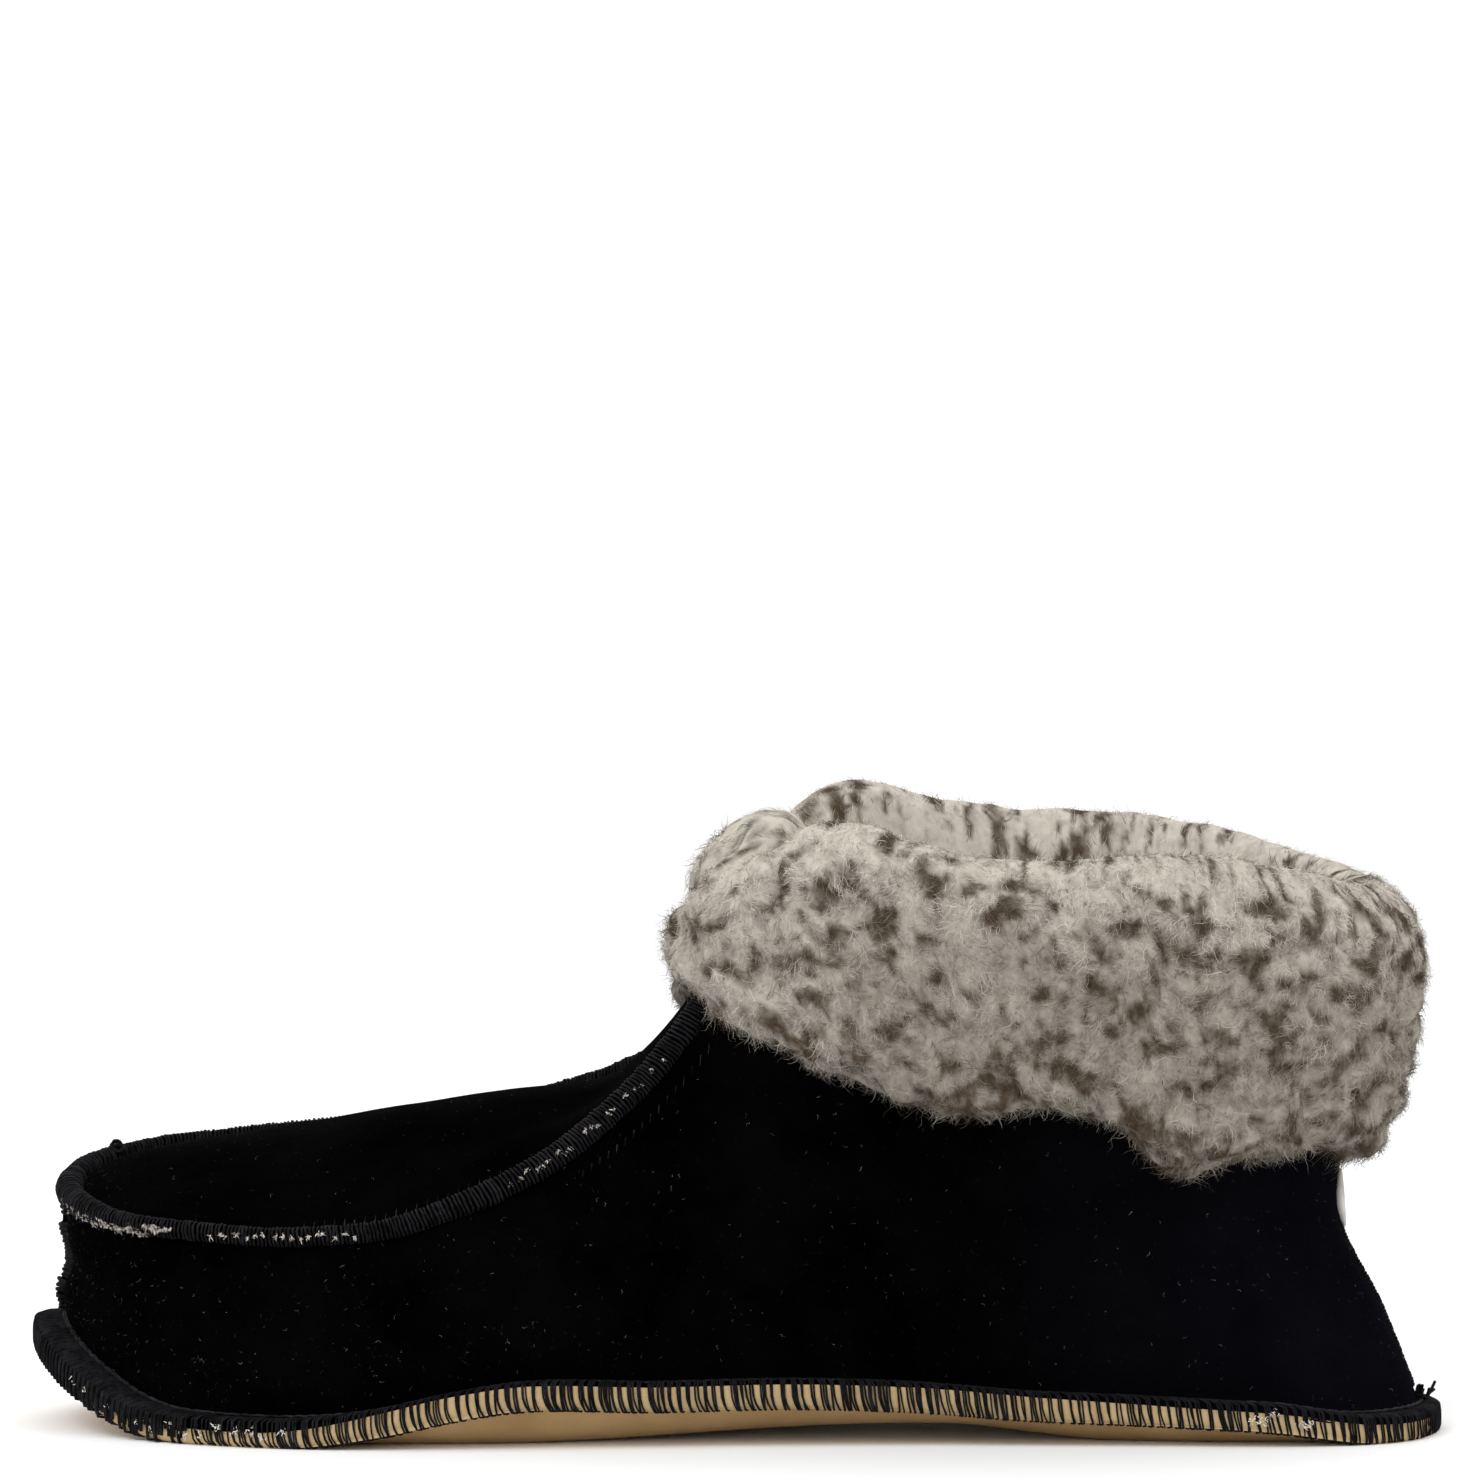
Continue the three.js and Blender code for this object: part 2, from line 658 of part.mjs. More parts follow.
function makeCuffBody(columns) {
  const corners = [0, 2 * THROAT]; // inside the throat's corners the wool is mitred
  const points = [];
  const faces = [];
  let width = 0;
  columns.forEach((column, place) => {
    const profile = cuffProfile(column);
    width = profile.length;
    for (const { depth, out } of profile) {
      const reach = out < 0 && corners.includes(place) ? out * CORNER_MITRE : out;
      const normal = collarNormal(columns, place, depth);
      points.push(column.pointAt(depth).addScaledVector(normal, reach));
    }
  });
  for (let place = 0; place < columns.length; place += 1) {
    const here = place * width;
    const there = ((place + 1) % columns.length) * width;
    for (let step = 0; step < width; step += 1) {
      const next = (step + 1) % width;
      addQuad(faces, here + step, there + step, there + next, here + next);
    }
  }
  return solidOf(points, faces);
}

// Steps from one lock to the next, round the cuff and down it, whose
// multiples spread evenly, and the turn that swings it aside.
const LOCK_STEP = { round: 0.618034, down: 0.754878, swing: 2.4 };
const LOCK_HANG = { down: 0.9, out: 0.45, aside: 0.5 };
const LOCK_SEAT = 0.86 * CUFF_PILE; // where a lock is rooted in the pile
const LOCK_TIP = 0.3 * LOCK_RADIUS;
const LOCK_LEAD = 0.3 * LOCK_LENGTH; // of a lock's middle past its root

// Locks of wool over the cuff's outside.
function makeLocks(columns) {
  const upright = new THREE.Vector3(0, 1, 0);
  const locks = [];
  for (let copy = 0; copy < LOCKS; copy += 1) {
    const place = Math.floor(((copy * LOCK_STEP.round) % 1) * columns.length);
    const column = columns[place];
    const share = Math.sqrt((copy * LOCK_STEP.down) % 1);
    const depth = turnedDown(column) * share - LOCK_LEAD;
    const normal = collarNormal(columns, place, depth);
    const aside = new THREE.Vector3(0, 0, 1).cross(normal);
    const hang = new THREE.Vector3(0, 0, -LOCK_HANG.down)
      .addScaledVector(normal, LOCK_HANG.out)
      .addScaledVector(aside, LOCK_HANG.aside * Math.sin(copy * LOCK_STEP.swing))
      .normalize();
    const root = column.pointAt(depth).addScaledVector(normal, LOCK_SEAT);
    const lock = new THREE.CylinderGeometry(LOCK_TIP, LOCK_RADIUS, LOCK_LENGTH, 4);
    lock.translate(0, LOCK_LEAD, 0);
    lock.applyQuaternion(new THREE.Quaternion().setFromUnitVectors(upright, hang));
    lock.translate(root.x, root.y, root.z);
    locks.push(solidFromGeometry(lock));
  }
  return locks;
}

function makeCuff() {
  const columns = collarColumns();
  let cuff = makeCuffBody(columns);
  for (const lock of makeLocks(columns)) {
    cuff = cuff.add(lock);
  }
  return mainBody(cuff.subtract(upperRoom()));
}

function makeMesh(name, solid, look) {
  const { vertProperties, triVerts } = solid.getMesh();
  const geometry = new THREE.BufferGeometry();
  geometry.setAttribute("position", new THREE.BufferAttribute(vertProperties, 3));
  geometry.setIndex(new THREE.BufferAttribute(triVerts, 1));
  geometry.computeVertexNormals();
  const mesh = new THREE.Mesh(geometry, new THREE.MeshStandardMaterial(look));
  mesh.name = name;
  return mesh;
}

const slipper = new THREE.Group();
slipper.add(makeMesh("sole", makeSole(), { color: 0xa58a62, roughness: 0.85, metalness: 0 }));
slipper.add(makeMesh("upper", makeUpper(), { color: 0x1c1c1e, roughness: 0.95, metalness: 0 }));
slipper.add(makeMesh("insole", makeInsole(), { color: 0xcfc8ba, roughness: 1, metalness: 0 }));
slipper.add(makeMesh("cuff", makeCuff(), { color: 0xb9b3a8, roughness: 1, metalness: 0 }));

export default slipper;
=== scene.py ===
import itertools
import math

import bpy
import numpy as np
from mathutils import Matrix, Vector, kdtree


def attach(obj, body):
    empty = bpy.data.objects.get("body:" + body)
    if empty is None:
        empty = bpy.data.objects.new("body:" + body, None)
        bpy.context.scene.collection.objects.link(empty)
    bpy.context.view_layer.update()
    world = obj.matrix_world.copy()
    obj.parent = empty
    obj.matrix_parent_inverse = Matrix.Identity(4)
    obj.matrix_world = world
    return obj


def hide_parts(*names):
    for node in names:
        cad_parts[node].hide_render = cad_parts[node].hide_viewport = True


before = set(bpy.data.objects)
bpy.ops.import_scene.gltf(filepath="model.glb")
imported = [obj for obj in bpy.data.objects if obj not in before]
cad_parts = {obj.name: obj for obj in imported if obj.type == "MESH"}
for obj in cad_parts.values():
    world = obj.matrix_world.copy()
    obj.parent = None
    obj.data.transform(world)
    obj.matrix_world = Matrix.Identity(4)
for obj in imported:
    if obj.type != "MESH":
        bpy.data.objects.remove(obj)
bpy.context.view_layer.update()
bpy.ops.object.select_all(action="DESELECT")


# Camera
# A long lens a little over a metre from the shoe's outer side, 3 degrees round
# toward the heel and 4.5 degrees above the level.
FULL_FRAME = 1480
CAMERA_TARGET = Vector((-0.105, 0, 0.045))
TARGET_PIXEL = (743, 1196)
CAMERA_ROUND, CAMERA_ABOVE = math.radians(3), math.radians(4.5)
CAMERA_DISTANCE = 1.1
FOCAL_PIXELS = 5525
aim_up = math.atan((TARGET_PIXEL[1] - FULL_FRAME / 2) / FOCAL_PIXELS)
aim_left = math.atan((TARGET_PIXEL[0] - FULL_FRAME / 2) / FOCAL_PIXELS)
level = CAMERA_DISTANCE * math.cos(CAMERA_ABOVE)
bpy.ops.object.camera_add(
    location=CAMERA_TARGET + Vector((
        level * math.sin(CAMERA_ROUND),
        -level * math.cos(CAMERA_ROUND),
        CAMERA_DISTANCE * math.sin(CAMERA_ABOVE),
    )),
    rotation=(math.pi / 2 - CAMERA_ABOVE + aim_up, 0, CAMERA_ROUND + aim_left),
)
camera = bpy.context.object
camera.data.sensor_width = 36
camera.data.lens = FOCAL_PIXELS / FULL_FRAME * camera.data.sensor_width
bpy.context.scene.camera = camera
bpy.context.scene.view_settings.view_transform = "Standard"


# Upper
# Black suede, 1.8 mm: two side panels and a U-shaped apron that becomes the
# tongue. Its sizes and sections, in millimetres, are those of the part's solids.
MM = 0.001
LENGTH, BALL_WIDTH, HEEL_WIDTH = 280, 104, 70
INSTEP, HEEL_HEIGHT, TOE_HEIGHT = 112, 96, 46
APRON_CROWN, TOE_SPRING, WAIST_LIFT, ARCH_RISE, TOE_SWING = 12.5, 15.5, 7.5, 3, 5
GAP, LEATHER, SOLE, SEAM = 0.3, 1.8, 2.8, 5.5
HEEL_TUCK = 1.9  # the sewn edge is drawn in this much at the very heel
TOP_BACK, TOP_FRONT = 16, 6.6
TOP_SPAN = LENGTH - TOP_BACK - TOP_FRONT
HEEL_X = 34
THROAT = 2 * math.pi * 0.2375  # angle at the throat's corner
WALL_COLUMNS, WALL_ROWS, APRON_STRIPS = 400, 40, 26


def through(rows):
    """Smooth curve through the rows of a table, whose first column is the share of the length."""
    spots, values = np.array(rows)[:, 0], np.array(rows)[:, 1:]
    end = len(spots) - 1

    def at(share):
        share = np.clip(np.asarray(share, float), spots[0], spots[-1])
        after = np.clip(np.searchsorted(spots, share, side="right"), 1, end)
        before = after - 1
        earlier = np.where(before > 0, before - 1, after)
        later = np.where(after < end, after + 1, before)
        half = (spots[after] - spots[before]) / 2
        lead = (half / (spots[before] - spots[earlier]))[..., None]
        trail = (half / (spots[later] - spots[after]))[..., None]
        p = ((share - spots[before]) / (2 * half))[..., None]
        return (
            values[earlier] * lead * (2 * p**2 - p**3 - p)
            + values[before] * ((1 + lead) * p**3 - (1.5 + 2 * lead) * p**2 + (lead - 0.5) * p + 1)
            + values[after] * (0.5 * p + (1.5 + trail) * p**2 - (1 + trail) * p**3)
            + values[later] * trail * (p**3 - p**2)
        )

    return at


# share of the length, outer and inner half width
OUTLINE = through([
    (0, 1.94, 1.94), (0.05, 1.77, 1.77), (0.1, 1.57, 1.57), (0.2, 1.25, 1.21), (0.3, 1.12, 1.0),
    (0.4, 1.02, 0.87), (0.5, 0.94, 0.83), (0.6, 0.95, 0.89), (0.7, 1.05, 1.03), (0.8, 1.19, 1.2),
    (0.9, 1.28, 1.35), (0.95, 1.32, 1.41), (1, 1.33, 1.33),
])
# share, rise of the sewn edge as shares of the waist's lift and the toe's spring
EDGE_RISE = through([
    (0, 0, 0), (0.06, 0.04, 0), (0.12, 0.36, 0), (0.2, 0.54, 0), (0.3, 0.7, 0), (0.37, 0.9, 0),
    (0.45, 1, 0), (0.55, 0.96, 0), (0.64, 1, 0), (0.69, 0.72, 0), (0.73, 0.38, 0), (0.78, 0.08, 0),
    (0.82, 0, 0), (0.87, 0, 0.01), (0.9, 0, 0.05), (0.927, 0, 0.19), (0.95, 0, 0.4),
    (0.973, 0, 0.64), (1, 0, 1),
])
# share, waistline's inset, way up to the top edge, swell below and above it
WAISTLINE = through([
    (0, 0.206, 0.41, 0.006, -0.004), (0.05, 0.17, 0.41, 0.012, 0), (0.1, 0.106, 0.4, 0.02, 0),
    (0.2, 0.077, 0.37, 0.022, 0), (0.35, 0.062, 0.35, 0.02, 0.01), (0.5, 0.058, 0.34, 0.02, 0.018),
    (0.6, 0.048, 0.34, 0.02, 0.025), (0.7, 0.043, 0.36, 0.018, 0.026), (0.8, 0.043, 0.38, 0.016, 0.024),
    (0.9, 0.048, 0.4, 0.012, 0.02), (1, 0.067, 0.45, 0.01, 0.01),
])
# share, top edge's half width, its height and how much it tilts to the outer side
TOP_EDGE = through([
    (0, 1.78, 0.857, 0.01), (0.035, 1.68, 0.883, 0.026), (0.093, 1.57, 0.917, 0.03),
    (0.15, 1.47, 0.942, 0.028), (0.209, 1.37, 0.962, 0.03), (0.325, 1.15, 0.989, 0.027),
    (0.402, 0.84, 1, 0.025), (0.456, 0.52, 0.937, 0.01), (0.492, 0.52, 0.795, 0.009),
    (0.518, 0.53, 0.705, 0.009), (0.549, 0.55, 0.62, 0.013), (0.578, 0.59, 0.571, 0.027),
    (0.615, 0.63, 0.522, 0.046), (0.654, 0.68, 0.484, 0.059), (0.692, 0.73, 0.457, 0.071),
    (0.731, 0.78, 0.435, 0.084), (0.808, 0.87, 0.419, 0.097), (0.886, 0.97, 0.412, 0.1),
    (0.955, 1.07, 0.411, 0.115), (1, 1.12, 0.411, 0.12),
])
# share, rise of the apron between its seams
CROWN = through([
    (0.44, 0.5), (0.51, 0.5), (0.557, 0.47), (0.576, 0.38), (0.619, 0.64), (0.665, 0.9),
    (0.742, 1), (0.82, 0.78), (0.858, 0.72), (0.93, 0.5), (0.97, 0.32), (1, 0),
])


def ease(value, low, high):
    t = np.clip((np.asarray(value, float) - low) / (high - low), 0, 1)
    return t * t * (3 - 2 * t)


def unit(vectors):
    return vectors / np.maximum(np.linalg.norm(vectors, axis=-1, keepdims=True), 1e-9)


def share_of(angle):
    return (1 - np.cos(angle)) / 2


def half_width(share):
    return (HEEL_WIDTH + (BALL_WIDTH - HEEL_WIDTH) * ease(share, 0.3, 0.7)) / 2


def height_scale(share):
    heel, toe = TOP_EDGE(0)[1], TOP_EDGE(1)[1]
    return (
        INSTEP
        + (1 - ease(share, 0.02, 0.3)) * (HEEL_HEIGHT / heel - INSTEP)
        + ease(share, 0.62, 0.95) * (TOE_HEIGHT / toe - INSTEP)
    )


def swing(from_back):
    return TOE_SWING * ease(from_back / LENGTH, 0.45, 1.05)


def inset_point(angle, back, front, side, height):
    """Point above the sole's outline, moved in by the given insets."""
    share = share_of(angle)
    from_back = back + (LENGTH - back - front) * share
    from_back = from_back + HEEL_TUCK * np.maximum(1 - np.asarray(back) / SEAM, 0) * (1 - ease(share, 0, 0.035))
    width = OUTLINE(share)
    half = half_width(share) * np.where(np.sin(angle) < 0, width[..., 1], width[..., 0]) - side
    across = swing(from_back) - half * np.sin(angle)
    return np.stack([HEEL_X - from_back, across, height + 0 * angle], -1)


def edge_point(angle, inset, height):
    return inset_point(angle, inset, inset, inset, height)


def edge_rise(angle):
    rise = EDGE_RISE(share_of(angle))
    return np.maximum(WAIST_LIFT * rise[..., 0] + TOE_SPRING * rise[..., 1], 0)


def edge_steepness(angle):
    before, after = (edge_point(near, SEAM, edge_rise(near)) for near in (angle - 0.04, angle + 0.04))
    step = after - before
    return np.hypot(1, step[..., 2] / np.hypot(step[..., 0], step[..., 1]))


def foot_height(angle):
    return edge_rise(angle) + SOLE + (GAP + LEATHER) * edge_steepness(angle)


def top_point(angle):
    share = share_of(angle)
    half, height, tilt = np.moveaxis(TOP_EDGE(share), -1, 0)
    from_back = TOP_BACK + TOP_SPAN * share
    return np.stack([
        HEEL_X - from_back,
        swing(from_back) - half_width(share) * half * np.sin(angle),
        height_scale(share) * (height - tilt * np.sin(angle)),
    ], -1)


def outward(angle):
    return unit(np.stack([np.cos(angle) / LENGTH, -np.sin(angle) / BALL_WIDTH, 0 * angle], -1))


def spline_point(knots, share):
    """Point on the centripetal curve through the knots, each an array of points."""
    place = share * (len(knots) - 1)
    first = min(int(place), len(knots) - 2)
    weight = place - first
    p1, p2 = knots[first], knots[first + 1]
    p0 = knots[first - 1] if first > 0 else 2 * p1 - p2
    p3 = knots[first + 2] if first + 2 < len(knots) else 2 * p2 - p1
    d0, d1, d2 = (
        np.sqrt(np.linalg.norm(b - a, axis=-1, keepdims=True)) for a, b in ((p0, p1), (p1, p2), (p2, p3))
    )
    start = ((p1 - p0) / d0 - (p2 - p0) / (d0 + d1) + (p2 - p1) / d1) * d1
    end = ((p2 - p1) / d1 - (p3 - p1) / (d1 + d2) + (p3 - p2) / d2) * d1
    return (
        p1
        + start * weight
        + (3 * (p2 - p1) - 2 * start - end) * weight**2
        + (2 * (p1 - p2) + start + end) * weight**3
    )


def wall_point(angle, up):
    """Point at the share "up" of the way from the sewn edge to the top edge."""
    angle = np.asarray(angle, float)
    inset, height, below, above = np.moveaxis(WAISTLINE(share_of(angle)), -1, 0)
    foot = edge_point(angle, SEAM, foot_height(angle))
    top = top_point(angle)
    middle = foot[..., 2] + (top[..., 2] - foot[..., 2]) * height
    back, front = WAISTLINE(0)[0] * BALL_WIDTH, WAISTLINE(1)[0] * BALL_WIDTH
    waist = inset_point(angle, back, front, inset * BALL_WIDTH, middle)
    out = outward(angle) * BALL_WIDTH
    knots = [
        foot, (foot + waist) / 2 + out * below[..., None], waist,
        (waist + top) / 2 + out * above[..., None], top,
    ]
    return spline_point(knots, up)


def apron_point(share, over):
    """Point on the apron, "over" from its outer seam at 0 to its inner seam at 1."""
    share = np.asarray(share, float)
    angle = np.arccos(np.clip(1 - 2 * share, -1, 1))
    point = top_point(angle) * (1 - over) + top_point(-angle) * over
    point[..., 2] += APRON_CROWN * CROWN(share)[..., 0] * (1 - (2 * over - 1) ** 2)
    fold = ease(share, 0.56, 0.62) * (1 - ease(share, 0.66, 0.76))
    line = 0.3 - 0.6 * (share - 0.62)
    ridge = 0.9 * np.exp(-(((over - line + 0.17) / 0.09) ** 2))
    crease = 1.3 * np.exp(-(((over - line) / 0.08) ** 2))
    point[..., 2] += fold * (ridge - crease)
    return point


def place_piece(name, data, material):
    """Object with the given data and material, chosen for what is done to it next."""
    piece = bpy.data.objects.new(name, data)
    bpy.context.scene.collection.objects.link(piece)
    bpy.ops.object.select_all(action="DESELECT")
    bpy.context.view_layer.objects.active = piece
    piece.select_set(True)
    data.materials.append(material)
    return piece


def lay_mesh(name, points, faces, material):
    """Object with a smooth mesh of the given points, in millimetres, and faces."""
    mesh = bpy.data.meshes.new(name)
    mesh.from_pydata((np.asarray(points) * MM).tolist(), [], faces)
    mesh.update()
    piece = place_piece(name, mesh, material)
    bpy.ops.object.shade_smooth()
    return piece


def mesh_normals(piece):
    normals = np.empty(len(piece.data.vertices) * 3)
    piece.data.vertices.foreach_get("normal", normals)
    return normals.reshape(-1, 3)


def thicken(piece, thickness, even=True):
    """Makes a sheet a layer of the given thickness, inward from the sheet."""
    layer = piece.modifiers.new("layer", "SOLIDIFY")
    layer.thickness = thickness * MM
    layer.offset = -1
    layer.use_even_offset = even
    bpy.ops.object.modifier_apply(modifier="layer")


def grid_faces(rows, columns, start=0, closed=True):
    """Quads of a grid of points, closed round its columns."""
    faces = []
    for row in range(rows - 1):
        low = start + row * columns
        for column in range(columns if closed else columns - 1):
            there = (column + 1) % columns
            faces.append((low + column, low + columns + column, low + columns + there, low + there))
    return faces


SLANT = np.array([[0.36, 0.48, -0.8], [-0.8, 0.6, 0], [0.48, 0.64, 0.6]])  # turns the noise's grid out of sight


def cloud(points, size, seed):
    """Soft unevenness from -1 to 1 at each point, in patches about "size" millimetres across."""
    places = (np.asarray(points) / size) @ SLANT + 0.37 * seed
    cells = np.floor(places).astype(np.int64)
    blend = places - cells
    blend = blend * blend * (3 - 2 * blend)
    total = 0
    for corner in itertools.product((0, 1), repeat=3):
        mix = ((cells + corner) * (73856093, 19349663, 83492791)).sum(-1) + 7919 * seed
        mix = ((mix ^ (mix >> 13)) * 1274126177) & 0x7FFFFFFF
        value = (mix ^ (mix >> 15)) % 2048 / 1024 - 1
        total = total + value * np.prod(np.where(corner, blend, 1 - blend), axis=-1)
    return total


def span_apron(points, faces, columns, strips, uneven):
    """Adds rows across between the two sides of a wall's top ring, and gives the last row."""
    count = len(points[0])
    top = count - WALL_COLUMNS
    previous = None
    for column in columns:
        share = share_of(turns[column])
        inner = np.array([apron_point(share, step / strips) for step in range(1, strips)])
        inner[:, 2] += uneven * cloud(inner, 16, 2)
        strip = [top + column, *range(count, count + strips - 1), top + WALL_COLUMNS - column]
        count += len(inner)
        points.append(inner)
        if previous:
            faces += [(previous[step], previous[step + 1], strip[step + 1], strip[step]) for step in range(strips)]
        previous = strip
    return previous


def new_material(name):
    material = bpy.data.materials.new(name)
    material.use_nodes = True
    return material


def feed(material, node, inputs):
    """Gives a node's inputs their values, or the sockets that feed them."""
    for name, value in inputs.items():
        if isinstance(value, bpy.types.NodeSocket):
            material.node_tree.links.new(value, node.inputs[name])
        else:
            node.inputs[name].default_value = value
    return node


def add_node(material, kind, inputs):
    return feed(material, material.node_tree.nodes.new("ShaderNode" + kind), inputs)


def own_place(material):
    return add_node(material, "TexCoord", {}).outputs["Object"]


def add_noise(material, inputs):
    return add_node(material, "TexNoise", {"Vector": own_place(material), **inputs}).outputs["Fac"]


def add_tones(material, source, low, dark, high, light):
    """Colours from dark to light as the source goes from low to high."""
    ramp = add_node(material, "ValToRGB", {"Fac": source})
    for element, place, color in zip(ramp.color_ramp.elements, (low, high), (dark, light)):
        element.position = place
        element.color = (*color, 1)
    return ramp.outputs["Color"]


def finish_material(material, color, surface, height=None, strength=0, distance=0):
    """Colour, surface values and, with a height, its fine relief."""
    shader = feed(material, material.node_tree.nodes["Principled BSDF"], {"Base Color": color, **surface})
    if height is not None:
        relief = add_node(material, "Bump", {"Height": height, "Strength": strength, "Distance": distance})
        feed(material, shader, {"Normal": relief.outputs["Normal"]})
    return material


def make_suede():
    material = new_material("black_suede")
    brushed = add_noise(material, {"Scale": 45, "Detail": 5, "Roughness": 0.65})
    tone = add_tones(material, brushed, 0.35, (0.0001, 0.0001, 0.0001), 0.72, (0.0014, 0.0014, 0.0015))
    # Painted sheen: toward the heel the suede's colour is made lighter and bluer, standing in for the bluish light on
    # the curved heel.
    along = add_node(material, "SeparateXYZ", {"Vector": own_place(material)})
    painted_heel_sheen = add_node(material, "MapRange", {"Value": along.outputs["X"], "From Min": -0.07, "From Max": 0.005})
    painted_sheen_mix = add_node(material, "Mix", {})
    painted_sheen_mix.data_type = "RGBA"
    painted_sheen_mix.blend_type = "ADD"
    feed(material, painted_sheen_mix, {"Factor": painted_heel_sheen.outputs["Result"], "A": tone, "B": (0.0016, 0.0016, 0.0028, 1)})
    surface = {
        "Roughness": 1, "Specular IOR Level": 0.003, "Sheen Weight": 0.003, "Sheen Roughness": 0.3,
        "Sheen Tint": (0.5, 0.55, 0.8, 1),
    }
    nap = add_noise(material, {"Scale": 1600, "Detail": 2})
    return finish_material(material, painted_sheen_mix.outputs["Result"], surface, nap, 0.5, 0.0003)


suede = make_suede()
turns = np.arange(WALL_COLUMNS) * 2 * math.pi / WALL_COLUMNS
wall = [edge_point(turns, edge, foot_height(turns)) for edge in (0, 0.4 * SEAM, 0.8 * SEAM)]
wall += [wall_point(turns, up) for up in np.linspace(0, 1, WALL_ROWS)]
for row, points in enumerate(wall[4:-1]):
    points += outward(turns) * 0.45 * cloud(points, 22, 1)[:, None] * math.sin(math.pi * row / (WALL_ROWS - 1)) ** 0.5
points = [np.concatenate(wall)]
faces = grid_faces(len(wall), WALL_COLUMNS)
throat_column = round(THROAT / (2 * math.pi) * WALL_COLUMNS)
last = span_apron(points, faces, range(throat_column, WALL_COLUMNS // 2), APRON_STRIPS, 0.3)
toe = len(points[0]) - WALL_COLUMNS // 2
faces += [(last[step], last[step + 1], toe) for step in range(APRON_STRIPS)]
upper_points = np.concatenate(points)
upper = lay_mesh("suede_upper", upper_points, faces, suede)
upper_normals = mesh_normals(upper)
thicken(upper, LEATHER)
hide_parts("upper")
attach(upper, "root")


# Raised seams
# The panels' edges stand up together round the apron and at the toe and heel,
# and black thread is wrapped closely over them. A core of both edges and one
# long wrapping each.
APRON_BEAD, TOE_BEAD, HEEL_BEAD = 2.4, 2.1, 1.1


def make_thread_stuff(name, color, gloss):
    material = new_material(name)
    strands = add_noise(material, {"Scale": 900, "Detail": 3})
    both = add_node(material, "Math", {0: strands, 1: add_noise(material, {"Scale": 260})})
    both.operation = "MULTIPLY"
    dark, light = ([factor * part for part in color] for factor in (0.3, 2.4))
    tone = add_tones(material, both.outputs["Value"], 0.12, dark, 0.4, light)
    surface = {"Roughness": 0.8, "Specular IOR Level": gloss, "Sheen Weight": 0.01}
    return finish_material(material, tone, surface, strands, 0.6, 0.0002)


def sew(name, paths, radius, sides, material, swell=None):
    """Threads along the given paths, in millimetres, as one object."""
    data = bpy.data.curves.new(name, "CURVE")
    data.dimensions = "3D"
    data.bevel_depth = radius * MM
    data.bevel_resolution = sides // 2 - 2
    data.use_fill_caps = True
    for number, path in enumerate(paths):
        spline = data.splines.new("POLY")
        spline.points.add(len(path) - 1)
        spline.points.foreach_set("co", np.c_[np.asarray(path) * MM, np.ones(len(path))].ravel())
        if swell is not None:
            spline.points.foreach_set("radius", np.asarray(swell[number], float))
    place_piece(name, data, material)
    bpy.ops.object.convert(target="MESH")
    piece = bpy.context.object
    bpy.ops.object.shade_smooth()
    return piece


def even_path(points, step):
    """The path through the points with even steps, its directions and its length."""
    points = np.asarray(points)
    lengths = np.r_[0, np.cumsum(np.linalg.norm(np.diff(points, axis=0), axis=1))]
    spots = np.linspace(0, lengths[-1], max(int(lengths[-1] / step), 2) + 1)
    even = np.stack([np.interp(spots, lengths, points[:, axis]) for axis in range(3)], -1)
    return even, unit(np.gradient(even, axis=0)), lengths[-1]


def slimming(part, front):
    """Share of the seam's full thickness at each part of its length."""
    off = np.abs(np.asarray(part) - 0.5)
    return 1 - 0.24 * front * ease(off, 0.04, 0.09) * (1 - ease(off, 0.2, 0.32))


def wrapping(points, radius, pitch, uneven, front, seed):
    """Coils round a path, each a little different in pitch and size, and coarser at its front."""
    rng = np.random.default_rng(seed)
    even, directions, length = even_path(points, 0.25)
    steps, place = [], 0
    while place < length:
        coarse = front * math.exp(-(((place / length - 0.5) / 0.045) ** 2))
        steps.append(place)
        place += pitch * (1 + 1.3 * coarse) * rng.uniform(0.75, 1.25)
    corners = 10
    coils = len(steps) - 1
    spots = np.arange(coils * corners) / corners
    place = np.interp(spots, np.arange(coils + 1), steps)
    index = np.clip((place / length * (len(even) - 1)).round().astype(int), 0, len(even) - 1)
    side = unit(np.cross(directions[index], [0, 0, 1.0]))
    up = np.cross(side, directions[index])
    size = radius * (1 + uneven * np.interp(spots, np.arange(coils + 1), rng.uniform(-1, 1, coils + 1)))
    size *= slimming(place / length, front)
    turn = (2 * math.pi * spots)[:, None]
    path = even[index] + size[:, None] * (side * np.cos(turn) + up * np.sin(turn))
    path += directions[index] * 0.45 * np.sin(turn + 0.8)
    thick = 1 + 1.3 * front * np.exp(-(((place / length - 0.5) / 0.045) ** 2))
    thick *= np.interp(spots, np.arange(coils + 1), rng.uniform(0.75, 1.2, coils + 1))
    return path, thick


black_thread = make_thread_stuff("black_thread", (0.0058, 0.0056, 0.0066), 0.06)
seam_turns = np.linspace(THROAT + 0.03, 2 * math.pi - THROAT - 0.03, 400)
seam_lean = outward(seam_turns) * 0.6 + np.array([0, 0, 0.8])
apron_seam = top_point(seam_turns) + seam_lean * APRON_BEAD / 2
apron_seam += seam_lean * 0.25 * cloud(apron_seam, 9, 3)[:, None]
toe_seam = np.array([wall_point(math.pi, up) for up in np.linspace(0.04, 0.97, 30)])
heel_seam = np.array([wall_point(0.0, up) - [0.6, 0, 0] for up in np.linspace(0.04, 0.66, 40)])
seams = (
    ("apron", apron_seam, APRON_BEAD, 0.78, 0.25, 0.07, 1),
    ("toe", toe_seam, TOE_BEAD, 0.85, 0.42, 0.2, 0),
    ("heel", heel_seam, HEEL_BEAD, 0.62, 0.2, 0.04, 0),
)
